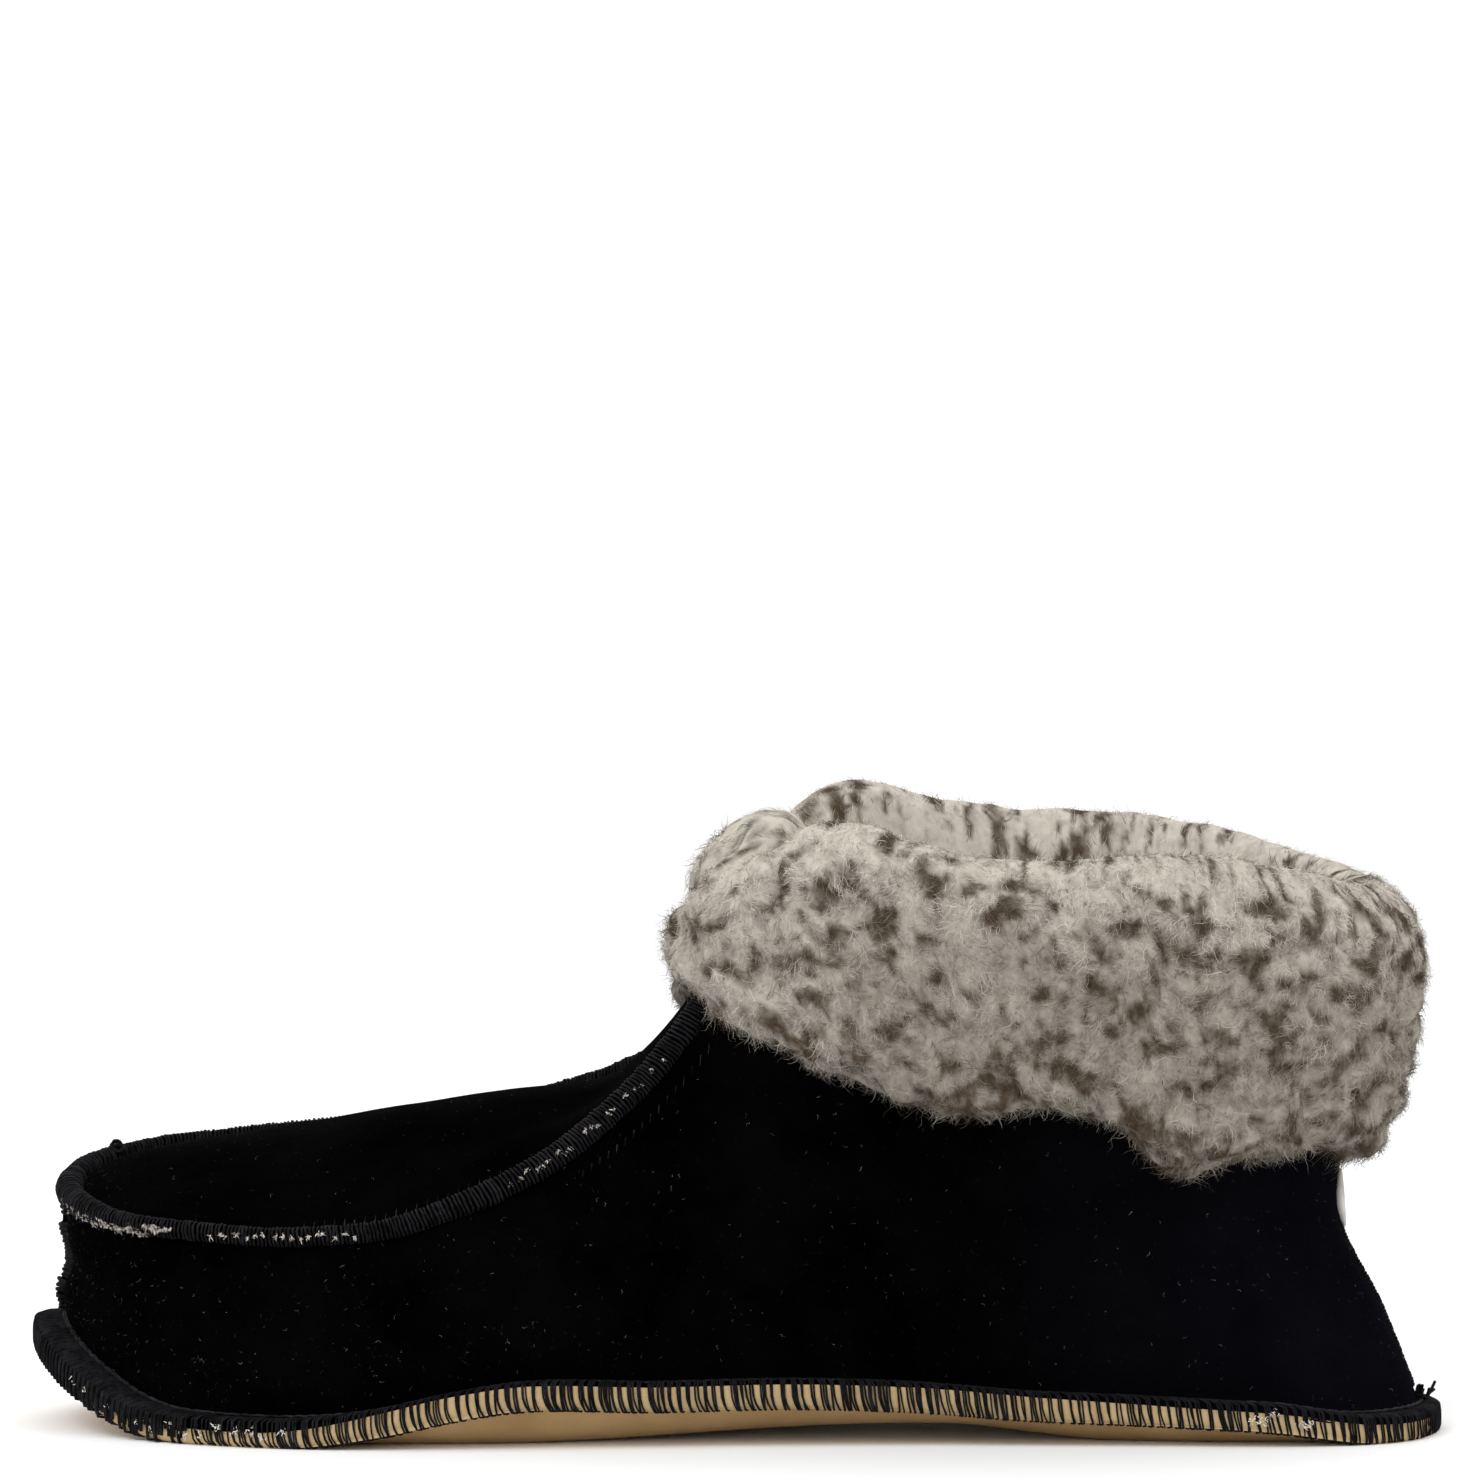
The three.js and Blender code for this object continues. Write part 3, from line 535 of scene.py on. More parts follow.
for seed, (place, line, radius, pitch, yarn, uneven, front) in enumerate(seams):
    inside = even_path(line, 1.5)[0]
    slim = slimming(np.linspace(0, 1, len(inside)), front)
    core = sew(f"{place}_seam_edges", [inside], radius - yarn, 12, suede, [slim])
    coil, thick = wrapping(line, radius - 0.4 * yarn, pitch, uneven, front, seed)
    wrap = sew(f"{place}_seam_thread", [coil], yarn, 6, black_thread, [thick])
    for piece in (core, wrap):
        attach(piece, "root")


# Lint and caught wool
# Short fibres lie all over the suede, the needle has left a row of marks beside
# the raised seam, wool from inside is pulled out between the threads, and at the
# heel the lining's own edge shows in the seam.
LINT, LINT_LENGTH, LINT_WIDTH = 9000, 1.0, 0.06
APRON_MARKS, SIDE_MARKS = (0.655, 0.81, 0.0078), (0.49, 0.59, 0.0062)  # first, last and step, as shares
PEEP_LOW, PEEP_HIGH, PEEP_RADIUS = 39.5, 51, 0.95
FIBRE_POINTS = 5
# shares of the length where wool shows in the raised seam, and how many tufts
CAUGHT = ((0.757, 0.87, 17), (0.538, 0.645, 19), (0.9, 0.9985, 52))


def paleness(material):
    """The "pale" value that the mesh keeps at each point."""
    pale = add_node(material, "Attribute", {})
    pale.attribute_name = "pale"
    return pale.outputs["Fac"]


def make_wool(name, light, dark):
    material = new_material(name)
    spread = add_node(material, "MapRange", {
        "Value": add_noise(material, {"Scale": 420, "Detail": 3}),
        "From Min": 0.3, "From Max": 0.7, "To Min": -0.1, "To Max": 0.1,
    })
    total = add_node(material, "Math", {0: paleness(material), 1: spread.outputs["Result"]})
    total.operation = "ADD"
    tone = add_tones(material, total.outputs["Value"], 0, dark, 1, light)
    return finish_material(material, tone, {"Roughness": 0.95, "Specular IOR Level": 0.08})


def shade(piece, pale):
    """Keeps how pale the wool is at each point, for its material."""
    layer = piece.data.attributes.new("pale", "FLOAT", "POINT")
    layer.data.foreach_set("value", np.asarray(pale, np.float32).ravel())


def comb(name, points, facing, pale, normal, width, material):
    """Flat tapering fibres: points is fibres by points by axes, pale is fibres by points."""
    fibres, steps = points.shape[:2]
    tangent = unit(np.gradient(points, axis=1))
    side = unit(np.cross(tangent, facing[:, None]))
    taper = width[:, None, None] * np.linspace(1, 0.4, steps - 1)[None, :, None] / 2
    left = points[:, :-1] - side[:, :-1] * taper
    right = points[:, :-1] + side[:, :-1] * taper
    rows = np.stack([left, right], 2).reshape(fibres, -1, 3)
    vertices = np.concatenate([rows, points[:, -1:]], 1)
    per = vertices.shape[1]
    corners = []
    for step in range(steps - 2):
        corners += [2 * step, 2 * step + 1, 2 * step + 3, 2 * step + 2]
    corners += [2 * steps - 4, 2 * steps - 3, 2 * steps - 2]
    loops = (np.arange(fibres)[:, None] * per + np.array(corners)).ravel()
    sizes = np.tile([4] * (steps - 2) + [3], fibres)
    mesh = bpy.data.meshes.new(name)
    mesh.vertices.add(fibres * per)
    mesh.vertices.foreach_set("co", (vertices * MM).astype(np.float32).ravel())
    mesh.loops.add(len(loops))
    mesh.loops.foreach_set("vertex_index", loops.astype(np.int32))
    mesh.polygons.add(len(sizes))
    mesh.polygons.foreach_set("loop_start", np.r_[0, np.cumsum(sizes)[:-1]].astype(np.int32))
    mesh.update(calc_edges=True)
    mesh.polygons.foreach_set("use_smooth", np.ones(len(sizes), bool))
    ribbon = unit(np.cross(side, tangent))
    normals = unit(0.75 * normal[:, None] + 0.25 * ribbon)
    shown = np.concatenate([np.repeat(normals[:, :-1], 2, 1), normals[:, -1:]], 1)
    mesh.normals_split_custom_set_from_vertices(shown.reshape(-1, 3))
    piece = place_piece(name, mesh, material)
    shade(piece, np.concatenate([np.repeat(pale[:, :-1], 2, 1), pale[:, -1:]], 1))
    return piece


def scatter(roots, normals, lays, length, lift, curl, rng):
    """Curled fibres that leave their roots along the lays and rise a little."""
    count = len(roots)
    t = np.linspace(0, 1, FIBRE_POINTS)[None, :, None]
    length, lift = np.broadcast_to(length, count)[:, None, None], np.broadcast_to(lift, count)[:, None, None]
    lays = unit(lays - normals * (lays * normals).sum(-1, keepdims=True))
    across = np.cross(normals, lays)
    turn = 2 * math.pi * (rng.uniform(0.6, 1.4, (count, 1, 1)) * t + rng.random((count, 1, 1)))
    wave = curl * rng.uniform(0.4, 1.2, (count, 1, 1)) * t**0.7
    return (
        roots[:, None]
        + lays[:, None] * t * length * 0.9
        + normals[:, None] * lift * length * np.sin(t * math.pi * 0.6)
        + wave * (across[:, None] * np.cos(turn) + 0.6 * normals[:, None] * np.sin(turn))
    )


def near(points, normals, count, rng, reach=0.8):
    """Places scattered round randomly chosen points of a surface."""
    chosen = rng.integers(0, len(points), count)
    normals = normals[chosen]
    aside = rng.normal(0, reach, (count, 3))
    return points[chosen] + aside - normals * (aside * normals).sum(-1, keepdims=True), normals


def wisps(name, roots, out, pull, length, lift, curl, pale, width, material, rng, lowest=0):
    """Loose wool; length, pale and width are each the least and the most."""
    count = len(roots)
    lays = rng.normal(0, 1, roots.shape) + [0, 0, pull]
    paths = scatter(roots, out, lays, rng.uniform(*length, count), lift, curl, rng)
    paths[..., 2] = np.maximum(paths[..., 2], lowest)
    tone = np.repeat(rng.uniform(*pale, (count, 1)), FIBRE_POINTS, 1)
    return comb(name, paths, out, tone, out, rng.uniform(*width, count), material)


rng = np.random.default_rng(31)
roots, out = near(upper_points, upper_normals, LINT, rng)
lint_paths = scatter(
    roots + out * 0.04, out, rng.normal(0, 1, (LINT, 3)) + [0, 0, -0.4],
    LINT_LENGTH * rng.uniform(0.2, 1.2, LINT) ** 1.5, 0.12, 0.4, rng,
)
lint_pale = np.repeat(rng.random((LINT, 1)) ** 8, FIBRE_POINTS, 1)
marks, mark_out = [], []
for share in np.arange(*APRON_MARKS):
    over = rng.uniform(0.028, 0.036)
    marks.append([apron_point(share, over + 0.0075 * step) for step in range(FIBRE_POINTS)])
    mark_out.append((0, -0.2, 1))
for share in np.arange(*SIDE_MARKS):
    angle = math.acos(1 - 2 * share)
    marks.append([wall_point(angle, 0.9 - 0.006 * step) + [0, -0.15, 0] for step in range(FIBRE_POINTS)])
    mark_out.append((0, -1, 0.2))
marks, mark_out = np.array(marks), unit(np.array(mark_out, float))
lint = comb(
    "suede_lint",
    np.concatenate([lint_paths, marks + mark_out[:, None] * 0.12]),
    np.concatenate([out, mark_out]),
    np.concatenate([lint_pale, np.full(marks.shape[:2], 0.03)]),
    np.concatenate([out, mark_out]),
    np.concatenate([rng.uniform(0.5, 1.3, LINT) * LINT_WIDTH, rng.uniform(0.2, 0.4, len(marks))]),
    make_wool("lint", (0.2, 0.19, 0.18), (0.0022, 0.0022, 0.0028)),
)
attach(lint, "root")

tufts = []
for low, high, count in CAUGHT:
    for share in np.linspace(low, high, count) + rng.normal(0, 0.0012, count):
        angle = math.acos(1 - 2 * min(share, 1))
        index = int(np.argmin(abs(seam_turns - angle)))
        front = share > 0.92
        tilt = rng.uniform(-0.9, -0.1) if front else rng.uniform(-0.25, 0.25)
        facing = unit(outward(np.array(angle)) + [0, 0, tilt])
        place = apron_seam[index] + facing * (APRON_BEAD - 0.1)
        tufts += [(place + rng.normal(0, 0.3 if front else 0.16, 3), facing) for _ in range(9)]
roots, out = np.array(tufts).swapaxes(0, 1)
caught_wool = make_wool("caught_wool", (0.7, 0.66, 0.6), (0.16, 0.12, 0.09))
caught = wisps(
    "seam_caught_wool", roots, out, -0.5, (0.3, 1.0), 0.15, 0.16, (0, 1), (0.1, 0.24), caught_wool, rng
)
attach(caught, "root")

# Low under the cuff, the lining's pale edge stands a little out of the heel seam.
peep = np.array([wall_point(0.0, up) for up in np.linspace(0.3, 0.95, 90)])
peep = peep[(peep[:, 2] > PEEP_LOW) & (peep[:, 2] < PEEP_HIGH)] + [0.7, -0.4, 0]
fullness = np.sin(np.linspace(0.15, math.pi - 0.15, len(peep))) ** 0.7
lining_edge = make_wool("lining_edge", (0.66, 0.64, 0.6), (0.2, 0.18, 0.16))
edge = sew("heel_seam_lining", [peep], PEEP_RADIUS, 8, lining_edge, [fullness])
shade(edge, 0.75 + 0.25 * cloud(np.array([corner.co for corner in edge.data.vertices]) / MM, 2, 24))
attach(edge, "root")


# Sole
# Tan leather, 2.8 mm, flesh side out: its edge is turned out level under the
# upper's, and it rolls down inside the seam to the flat underfoot.
SOLE_ROLL = 9
SOLE_ACROSS = 16


def sole_base(share):
    rising, falling = ease(share, 0.2, 0.34), 1 - ease(share, 0.36, 0.68)
    return ARCH_RISE * np.minimum(rising, falling) + TOE_SPRING * ease(share, 0.9, 1.1)


def sole_point(angle, inset, down, above):
    rise = edge_rise(angle) * (1 - down) + sole_base(share_of(angle)) * down
    return edge_point(angle, inset, rise + above)


def filled_rings(rings, across):
    """Rings from the outside in, and strips straight across the last one."""
    columns = len(rings[0])
    points = [np.concatenate(rings)]
    faces = grid_faces(len(rings), columns)
    last = (len(rings) - 1) * columns
    count = len(rings) * columns
    previous = [last] * (across + 1)
    for column in range(1, columns // 2 + 1):
        here, there = rings[-1][column], rings[-1][-column]
        if column < columns // 2:
            inner = [here + (there - here) * step / across for step in range(1, across)]
            points.append(np.array(inner))
            strip = [last + column, *range(count, count + across - 1), last + columns - column]
            count += across - 1
        else:
            strip = [last + column] * (across + 1)
        for step in range(across):
            corners = (previous[step], previous[step + 1], strip[step + 1], strip[step])
            faces.append(tuple(dict.fromkeys(corners)))
        previous = strip
    return np.concatenate(points), faces


def make_sole_leather():
    material = new_material("tan_leather")
    patches = add_noise(material, {"Scale": 60, "Detail": 6})
    tone = add_tones(material, patches, 0.3, (0.33, 0.21, 0.095), 0.7, (0.45, 0.3, 0.145))
    paler = add_node(material, "Mix", {})
    paler.data_type = "RGBA"
    feed(material, paler, {"Factor": paleness(material), "A": tone, "B": (0.45, 0.335, 0.18, 1)})
    fibres = add_noise(material, {"Scale": 1300, "Detail": 3})
    surface = {"Roughness": 0.85, "Specular IOR Level": 0.2}
    return finish_material(material, paler.outputs["Result"], surface, fibres, 0.4, 0.0003)


def closed_faces(rows, columns):
    """Quads of a grid of points that is closed in both directions."""
    return [tuple(corner % (rows * columns) for corner in face) for face in grid_faces(rows + 1, columns)]


def face_outward():
    """Turns every face of the chosen piece outward."""
    bpy.ops.object.mode_set(mode="EDIT")
    bpy.ops.mesh.select_all(action="SELECT")
    bpy.ops.mesh.normals_make_consistent(inside=False)
    bpy.ops.object.mode_set(mode="OBJECT")


tan_leather = make_sole_leather()
sole_insets = [(0, 0), (1.5, 0), (3.5, 0), (SEAM, 0)]
sole_insets += [
    (SEAM + SOLE_ROLL * part, down) for part, down in ((0.22, 0.22), (0.45, 0.55), (0.65, 0.8), (0.85, 0.96), (1, 1))
]
sole_rings = [sole_point(turns, inset, down, SOLE) for inset, down in sole_insets]
sole_points, sole_faces = filled_rings(sole_rings, SOLE_ACROSS)
sole = lay_mesh("leather_sole", sole_points, sole_faces, tan_leather)
shade(sole, (np.arange(len(sole_points)) < 3 * WALL_COLUMNS).astype(float))
thicken(sole, SOLE)
rounding = sole.modifiers.new("edge", "BEVEL")
rounding.width = 0.5 * MM
rounding.segments = 2
rounding.limit_method = "ANGLE"
rounding.angle_limit = math.radians(50)
bpy.ops.object.modifier_apply(modifier="edge")
bpy.ops.object.shade_smooth_by_angle(angle=math.radians(50))
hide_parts("sole")
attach(sole, "root")

# The sole's edge is rolled up over the upper's, full height but for the toe.
ROLL_ROWS, ROLL_START, ROLL_STOP = 7, 0.12, 0.3  # its ends stay this far inside the edge's thickness
tall = (1 - ease(share_of(turns), 0.7, 0.86)) * (0.5 + 0.5 * ease(share_of(turns), 0.14, 0.34))
low = edge_rise(turns)
high = low + SOLE - ROLL_STOP + (foot_height(turns) - low - SOLE) * tall
rolled = []
for part in np.linspace(0, 1, ROLL_ROWS):
    uneven = 0.16 * cloud(edge_point(turns, 0, low + 4 * part), 1.5, 25)
    height = low + ROLL_START + (high - low - ROLL_START) * part + (0.3 * uneven if part > 0.9 else 0)
    swell = 0.08 + 0.34 * math.sin(math.pi * min(part, 0.9)) + uneven * math.sin(math.pi * part)
    rolled.append(edge_point(turns, 0, height) + outward(turns) * swell[:, None])
for part in (0.95, 0.05):
    rolled.append(edge_point(turns, 0.5, low + ROLL_START + (high - low - ROLL_START) * part))
rolled_faces = closed_faces(len(rolled), WALL_COLUMNS)
sole_edge = lay_mesh("sole_rolled_edge", np.concatenate(rolled), rolled_faces, tan_leather)
face_outward()
shade(sole_edge, 0.8 + 0.35 * cloud(np.concatenate(rolled), (1.2, 1.2, 3), 26))
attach(sole_edge, "root")


# Sole seam
# One machine seam holds the upper's and the sole's turned-out edges together:
# slanting black stitches over the edge, and a chain along their inner ends.
STITCH = 2.85
EDGE_THREAD, TOE_THREAD, CHAIN_THREAD = 0.25, 0.33, 0.24


def edge_spots(pitch):
    """Angles round the sewn edge at even steps along it."""
    fine = np.linspace(0, 2 * math.pi, 4001)
    line = edge_point(fine, 0, edge_rise(fine))
    lengths = np.r_[0, np.cumsum(np.linalg.norm(np.diff(line, axis=0), axis=1))]
    stitches = round(lengths[-1] / pitch)
    return lambda number: np.interp((number * pitch) % lengths[-1], lengths, fine), stitches, lengths[-1]


def edge_stitch(angle_at, number, lean, hook, reach_under, swell):
    """Path of one strand over the edge, from the chain out and round under the sole."""
    path = []
    rows = (
        (5.6, 1, 0.1), (4.2, 1, 0.28), (2.4, 1, 0.34), (0.8, 1, 0.3), (-0.02, 1, 0.02), (-0.27, 0.75, 0),
        (-0.32, 0.5, 0), (-0.3, 0.22, 0), (-0.05, 0, -0.08), (0.8, 0, -0.24), (reach_under, 0, -0.1),
    )
    for step, (inset, upward, off) in enumerate(rows):
        part = step / (len(rows) - 1)
        hooked = hook * ease(part, 0.6, 0.85)
        angle = angle_at(number - lean * (part - 0.3) + hooked)
        low, high = edge_rise(angle), foot_height(angle)
        inset = inset - swell if inset < 0 else inset
        height = low + (high - low) * upward + off * (1 + swell)
        path.append(edge_point(angle, inset, max(height, TOE_THREAD + 0.02)))
    return np.array(path)


rng = np.random.default_rng(11)
spot, stitches, round_edge = edge_spots(STITCH)
whips, thickness = [], []
number, strand = 0.0, 0
while number < round_edge / STITCH:
    share = share_of(spot(number))
    if ease(share, 0.84, 0.9) > 0.5:
        path = edge_stitch(spot, number, rng.uniform(0, 0.14), 0, rng.uniform(0.8, 2.6), 0.35 + 0.5 * (strand % 3 == 1))
        shown = len(path) if share > 0.955 or rng.random() < 0.4 else int(rng.integers(7, 9))
        whips.append(path[:shown])
        thickness.append(np.full(shown, TOE_THREAD / EDGE_THREAD * rng.uniform(0.8, 1.1)))
        number += 0.14 + 0.13 * (strand % 3 == 2) + rng.uniform(-0.02, 0.02)
    else:
        heel = share < 0.04
        close = heel or share > 0.72
        lean = rng.uniform(0.25, 0.55)
        under = rng.uniform(0.4, 1.6)
        for turn in range(1 if heel else int(rng.integers(1, 3)) if close else int(rng.integers(2, 4))):
            off = 0 if turn == 0 else rng.uniform(0.1, 0.2) * (1 if turn == 1 else -1)
            hook = -rng.uniform(0.05, 0.35)
            own_lean = lean + rng.uniform(-0.15, 0.2)
            whips.append(edge_stitch(spot, number + off, own_lean, hook, under, rng.uniform(0.3, 0.45)))
            thickness.append(np.full(11, rng.uniform(0.6, 0.95)))
        if not close:
            whips.append(edge_stitch(spot, number + rng.uniform(0.35, 0.75), lean, 0, under, 0)[:5])
            thickness.append(np.full(5, rng.uniform(0.7, 1)))
        number += rng.uniform(0.34, 0.46) if close else rng.uniform(0.55, 0.75)
    strand += 1
whip_stitches = sew("sole_seam_stitches", whips, EDGE_THREAD, 6, black_thread, thickness)
links = []
for number in range(stitches):
    for side in (-1, 1):
        link = []
        for part in np.linspace(-0.55, 0.55, 7):
            angle = spot(number + part)
            inset = 5.1 + side * 0.34 * math.cos(part * math.pi)
            middle = float(ease(share_of(angle), 0.1, 0.16) * (1 - ease(share_of(angle), 0.7, 0.8)))
            height = foot_height(angle) + 0.6 - 0.65 * middle + 0.25 * math.cos(part * 2.6)
            link.append(edge_point(angle, inset, height))
        links.append(np.array(link))
chain_thread = make_thread_stuff("chain_thread", (0.014, 0.014, 0.0155), 0.07)
chain = sew("sole_seam_chain", links, CHAIN_THREAD, 6, chain_thread)

# Cut ends of the thread stand up at the heel, and a knot sits at the apron's front.
heel_end = edge_point(0.0, 5.2, foot_height(0.0))
ends = []
for turn in range(9):
    lean = np.array([rng.uniform(-0.4, 1.1), rng.uniform(-0.9, 0.5), 1.0])
    reach = rng.uniform(2.2, 5.2)
    bend = rng.normal(0, 0.5, 3)
    start = heel_end + rng.normal(0, 0.6, 3) * [1, 1, 0]
    ends.append(np.array([start + unit(lean) * reach * t + bend * t * t for t in np.linspace(0, 1, 6)]))
knot_place = top_point(np.array(math.pi + 0.28)) + [1.2, 0, 3.4]
for turn in range(8):
    tilt = rng.normal(0, 0.45, 3)
    around_knot = np.linspace(0, 2 * math.pi * rng.uniform(1, 1.6), 18)
    ring = np.stack([0.95 * np.cos(around_knot), 0.8 * np.sin(around_knot + turn), 0.7 * np.sin(around_knot)], -1)
    ends.append(knot_place + ring + tilt)
loose_ends = sew("seam_thread_ends", ends, 0.3, 6, black_thread)
for piece in (whip_stitches, chain, loose_ends):
    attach(piece, "root")

# Wool that the needle has caught shows between some of the stitches.
tufts = []
for low, high, count in ((0.8, 0.905, 10), (0.104, 0.11, 3), (0.13, 0.142, 4), (0.93, 0.96, 3)):
    for share in np.linspace(low, high, count) + rng.normal(0, 0.002, count):
        angle = math.acos(1 - 2 * share)
        facing = unit(outward(np.array(angle)) + [0, 0, rng.uniform(-0.2, 0.5)])
        inset = rng.uniform(-0.95, -0.55)
        place = edge_point(angle, inset, edge_rise(angle) + rng.uniform(1.8, 4.0))
        tufts += [(place + rng.normal(0, 0.4, 3), facing) for _ in range(12)]
roots, out = np.array(tufts).swapaxes(0, 1)
needle_wool = make_wool("edge_wool", (0.78, 0.74, 0.66), (0.25, 0.2, 0.15))
edge_wool = wisps(
    "edge_caught_wool", roots, out, 0, (0.4, 1.2), 0.15, 0.25, (0.4, 1), (0.12, 0.3), needle_wool, rng, 0.3
)
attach(edge_wool, "root")


# Insole
# A loose pad of sheared wool on the sole, 6 mm, its edge rounded by wear and
# resting over the sole's roll.
INSOLE, INSOLE_EDGE, INSOLE_ACROSS = 6, 6, 40
INSOLE_FIBRES = 4000
WORN_EDGE = ((0, 2.8), (0.3, 1.6), (1.2, 0.6), (2.6, 0.1), (5, 0))  # inset and drop of the top's rings


def pad_ring(inset, height):
    return edge_point(turns, inset, sole_base(share_of(turns)) + height)


pad_wool = make_wool("pad_wool", (0.66, 0.61, 0.52), (0.3, 0.26, 0.21))
pad_edge, pad_top = SEAM + INSOLE_EDGE, SOLE + GAP + INSOLE
sole_under = 0.2 * (edge_rise(turns) - sole_base(share_of(turns)))
top_rings = [pad_ring(pad_edge + inset, pad_top - drop) for inset, drop in WORN_EDGE]
under_rings = [pad_ring(pad_edge, SOLE + GAP + 0.3 + sole_under), pad_ring(pad_edge + 4, SOLE + GAP)]
top_points, top_faces = filled_rings(top_rings, INSOLE_ACROSS)
under_points, under_faces = filled_rings(under_rings, 8)
fluff = np.r_[np.zeros(WALL_COLUMNS), np.ones(len(top_points) - WALL_COLUMNS)]
top_points[:, 2] += fluff * (0.35 * cloud(top_points, 9, 6) + 0.25 * cloud(top_points, 3.5, 7) - 0.3)
start = len(top_points)
pad_faces = top_faces + [tuple(start + corner for corner in face[::-1]) for face in under_faces]
pad_faces += [
    (column, (column + 1) % WALL_COLUMNS, start + (column + 1) % WALL_COLUMNS, start + column)
    for column in range(WALL_COLUMNS)
]
insole = lay_mesh("wool_insole", np.concatenate([top_points, under_points]), pad_faces, pad_wool)
face_outward()
shade(insole, 0.5 + 0.4 * cloud(np.concatenate([top_points, under_points]), 5, 8))
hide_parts("insole")
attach(insole, "root")

rng = np.random.default_rng(41)
bare = top_points[WALL_COLUMNS:]
roots, out = near(bare, np.tile([0.0, 0, 1], (len(bare), 1)), INSOLE_FIBRES, rng, 1.2)
roots = roots[(abs(roots[:, 1]) < 24) & (roots[:, 0] > -205)]
out = out[: len(roots)]
pad_nap = wisps(
    "insole_nap", roots, out, 0, (1.5, 4), 0.16, 0.5, (0.2, 1), (0.14, 0.3), pad_wool, rng
)
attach(pad_nap, "root")


# Lining
# The sheepskin's wool side inside the shoe: a soft layer on the inside of the
# upper, from about 9 mm up its wall to where the cuff's own wool begins.
LINING, LINING_GAP = 3.4, 0.4
LINING_ROWS, LINING_STRIPS = 22, 14
LINING_FIBRES = 5000
lining_low = 0.09  # share of the way up the wall
lining_high = 1 - 0.13 * (1 - ease(share_of(turns), 0.47, 0.53)) - 0.2 * ease(share_of(turns), 0.86, 0.92)
rows = []
for part in np.linspace(0, 1, LINING_ROWS):
    ups = lining_low + (lining_high - lining_low) * part
    rows.append(np.array([wall_point(turn, up) for turn, up in zip(turns, ups)]))
points = [np.concatenate(rows)]
faces = grid_faces(LINING_ROWS, WALL_COLUMNS)
over_toes = [
    column for column in range(WALL_COLUMNS // 4 + 4, WALL_COLUMNS // 2)
    if 0.525 < share_of(turns[column]) < 0.86
]
span_apron(points, faces, over_toes, LINING_STRIPS, 0)
lining_points = np.concatenate(points)
lining = lay_mesh("wool_lining", lining_points, faces, pad_wool)
lining_out = mesh_normals(lining)
lining_points = lining_points - lining_out * (LEATHER + LINING_GAP)
lining.data.vertices.foreach_set("co", (lining_points * MM).ravel())
lining.data.update()
thicken(lining, LINING, even=False)
corners = np.empty(len(lining.data.vertices) * 3)
lining.data.vertices.foreach_get("co", corners)
shade(lining, 0.5 + 0.4 * cloud(corners.reshape(-1, 3) / MM, 5, 8))
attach(lining, "root")

rng = np.random.default_rng(43)
wool_face = lining_points - lining_out * LINING
roots, out = near(wool_face, -lining_out, LINING_FIBRES, rng, 1.2)
lining_nap = wisps(
    "lining_nap", roots, out, -0.8, (1.5, 4), 0.2, 0.5, (0.2, 1), (0.14, 0.3), pad_wool, rng
)
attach(lining_nap, "root")


# Fleece cuff
# The sheepskin collar turned down with its wool out: a soft body in tufts, and
# short curled fibres on it that are longer at the lower edge and flat inside.
CUFF_DEPTH, CUFF_PILE, CUFF_LINING, CUFF_RISE, CUFF_TUCK = 40, 14, 7, 10.5, 15
BODY_UNDER = 2.2  # the body stays this much under the solid's own pile
# share, turned-down length on the outer and the inner side
CUFF_EDGE = through([
    (0, 0.98, 0.98), (0.039, 0.94, 0.98), (0.076, 1.01, 0.96), (0.103, 1.07, 0.98), (0.127, 1.21, 1),
    (0.152, 1.08, 1), (0.18, 0.98, 1), (0.211, 0.94, 1), (0.311, 0.97, 1), (0.383, 0.86, 0.96),
    (0.42, 0.76, 0.9), (0.46, 0.44, 0.74),
])
SIDE_COLUMNS, COLLAR_RADIUS = 39, 68
TONGUE_COLUMNS = (0.7, 0.5, 0.3)
TONGUE_SHORTER = 0.72  # the wool on the tongue is clipped short


def side_point(angle, depth):
    top, waist = wall_point(angle, 1), wall_point(angle, 0.5)
    up = 1 - 0.5 * max(depth, 0) / np.linalg.norm(top - waist)
    return wall_point(angle, up) + unit(top - waist) * max(-depth, 0)


def tongue_point(over, depth):
    point = apron_point(share_of(THROAT) + max(depth, 0) * 0.72 / TOP_SPAN, over)
    return point + np.array([0.5, 0, 0.87]) * max(-depth, 0)


def collar_columns():
    """Columns round the collar: a function of the depth, the turned-down length, the extra rise."""
    columns = []
    for angle in np.linspace(THROAT, -THROAT, SIDE_COLUMNS):
        share = share_of(angle)
        outer, inner = CUFF_EDGE(share)
        down = CUFF_DEPTH * (inner if angle < 0 else outer) + 1.3 * cloud([COLLAR_RADIUS * angle, 0, 0], 9, 22)
        front = math.exp(-(((share - 0.405) / 0.06) ** 2))
        back = 2.6 * (1 - ease(share, 0.16, 0.28))
        if angle < 0:
            fuller = 1 + 2.9 * front + back
        else:
            fuller = 1.5 * front + back - 2.8 * (1 - front) * ease(share, 0.1, 0.24)
        columns.append([lambda depth, angle=angle: side_point(angle, depth), down, fuller])
    outer, inner = CUFF_EDGE(share_of(THROAT))
    for over in TONGUE_COLUMNS:
        down = CUFF_DEPTH * (outer + (inner - outer) * over) * TONGUE_SHORTER
        columns.append([lambda depth, over=over: tongue_point(over, depth), down, 2.5 + 1.5 * over])
    for place, over in ((0, 0), (SIDE_COLUMNS - 1, 1)):
        beside = columns[place][0]
        columns[place][0] = lambda depth, beside=beside, over=over: (beside(depth) + tongue_point(over, depth)) / 2
    return columns


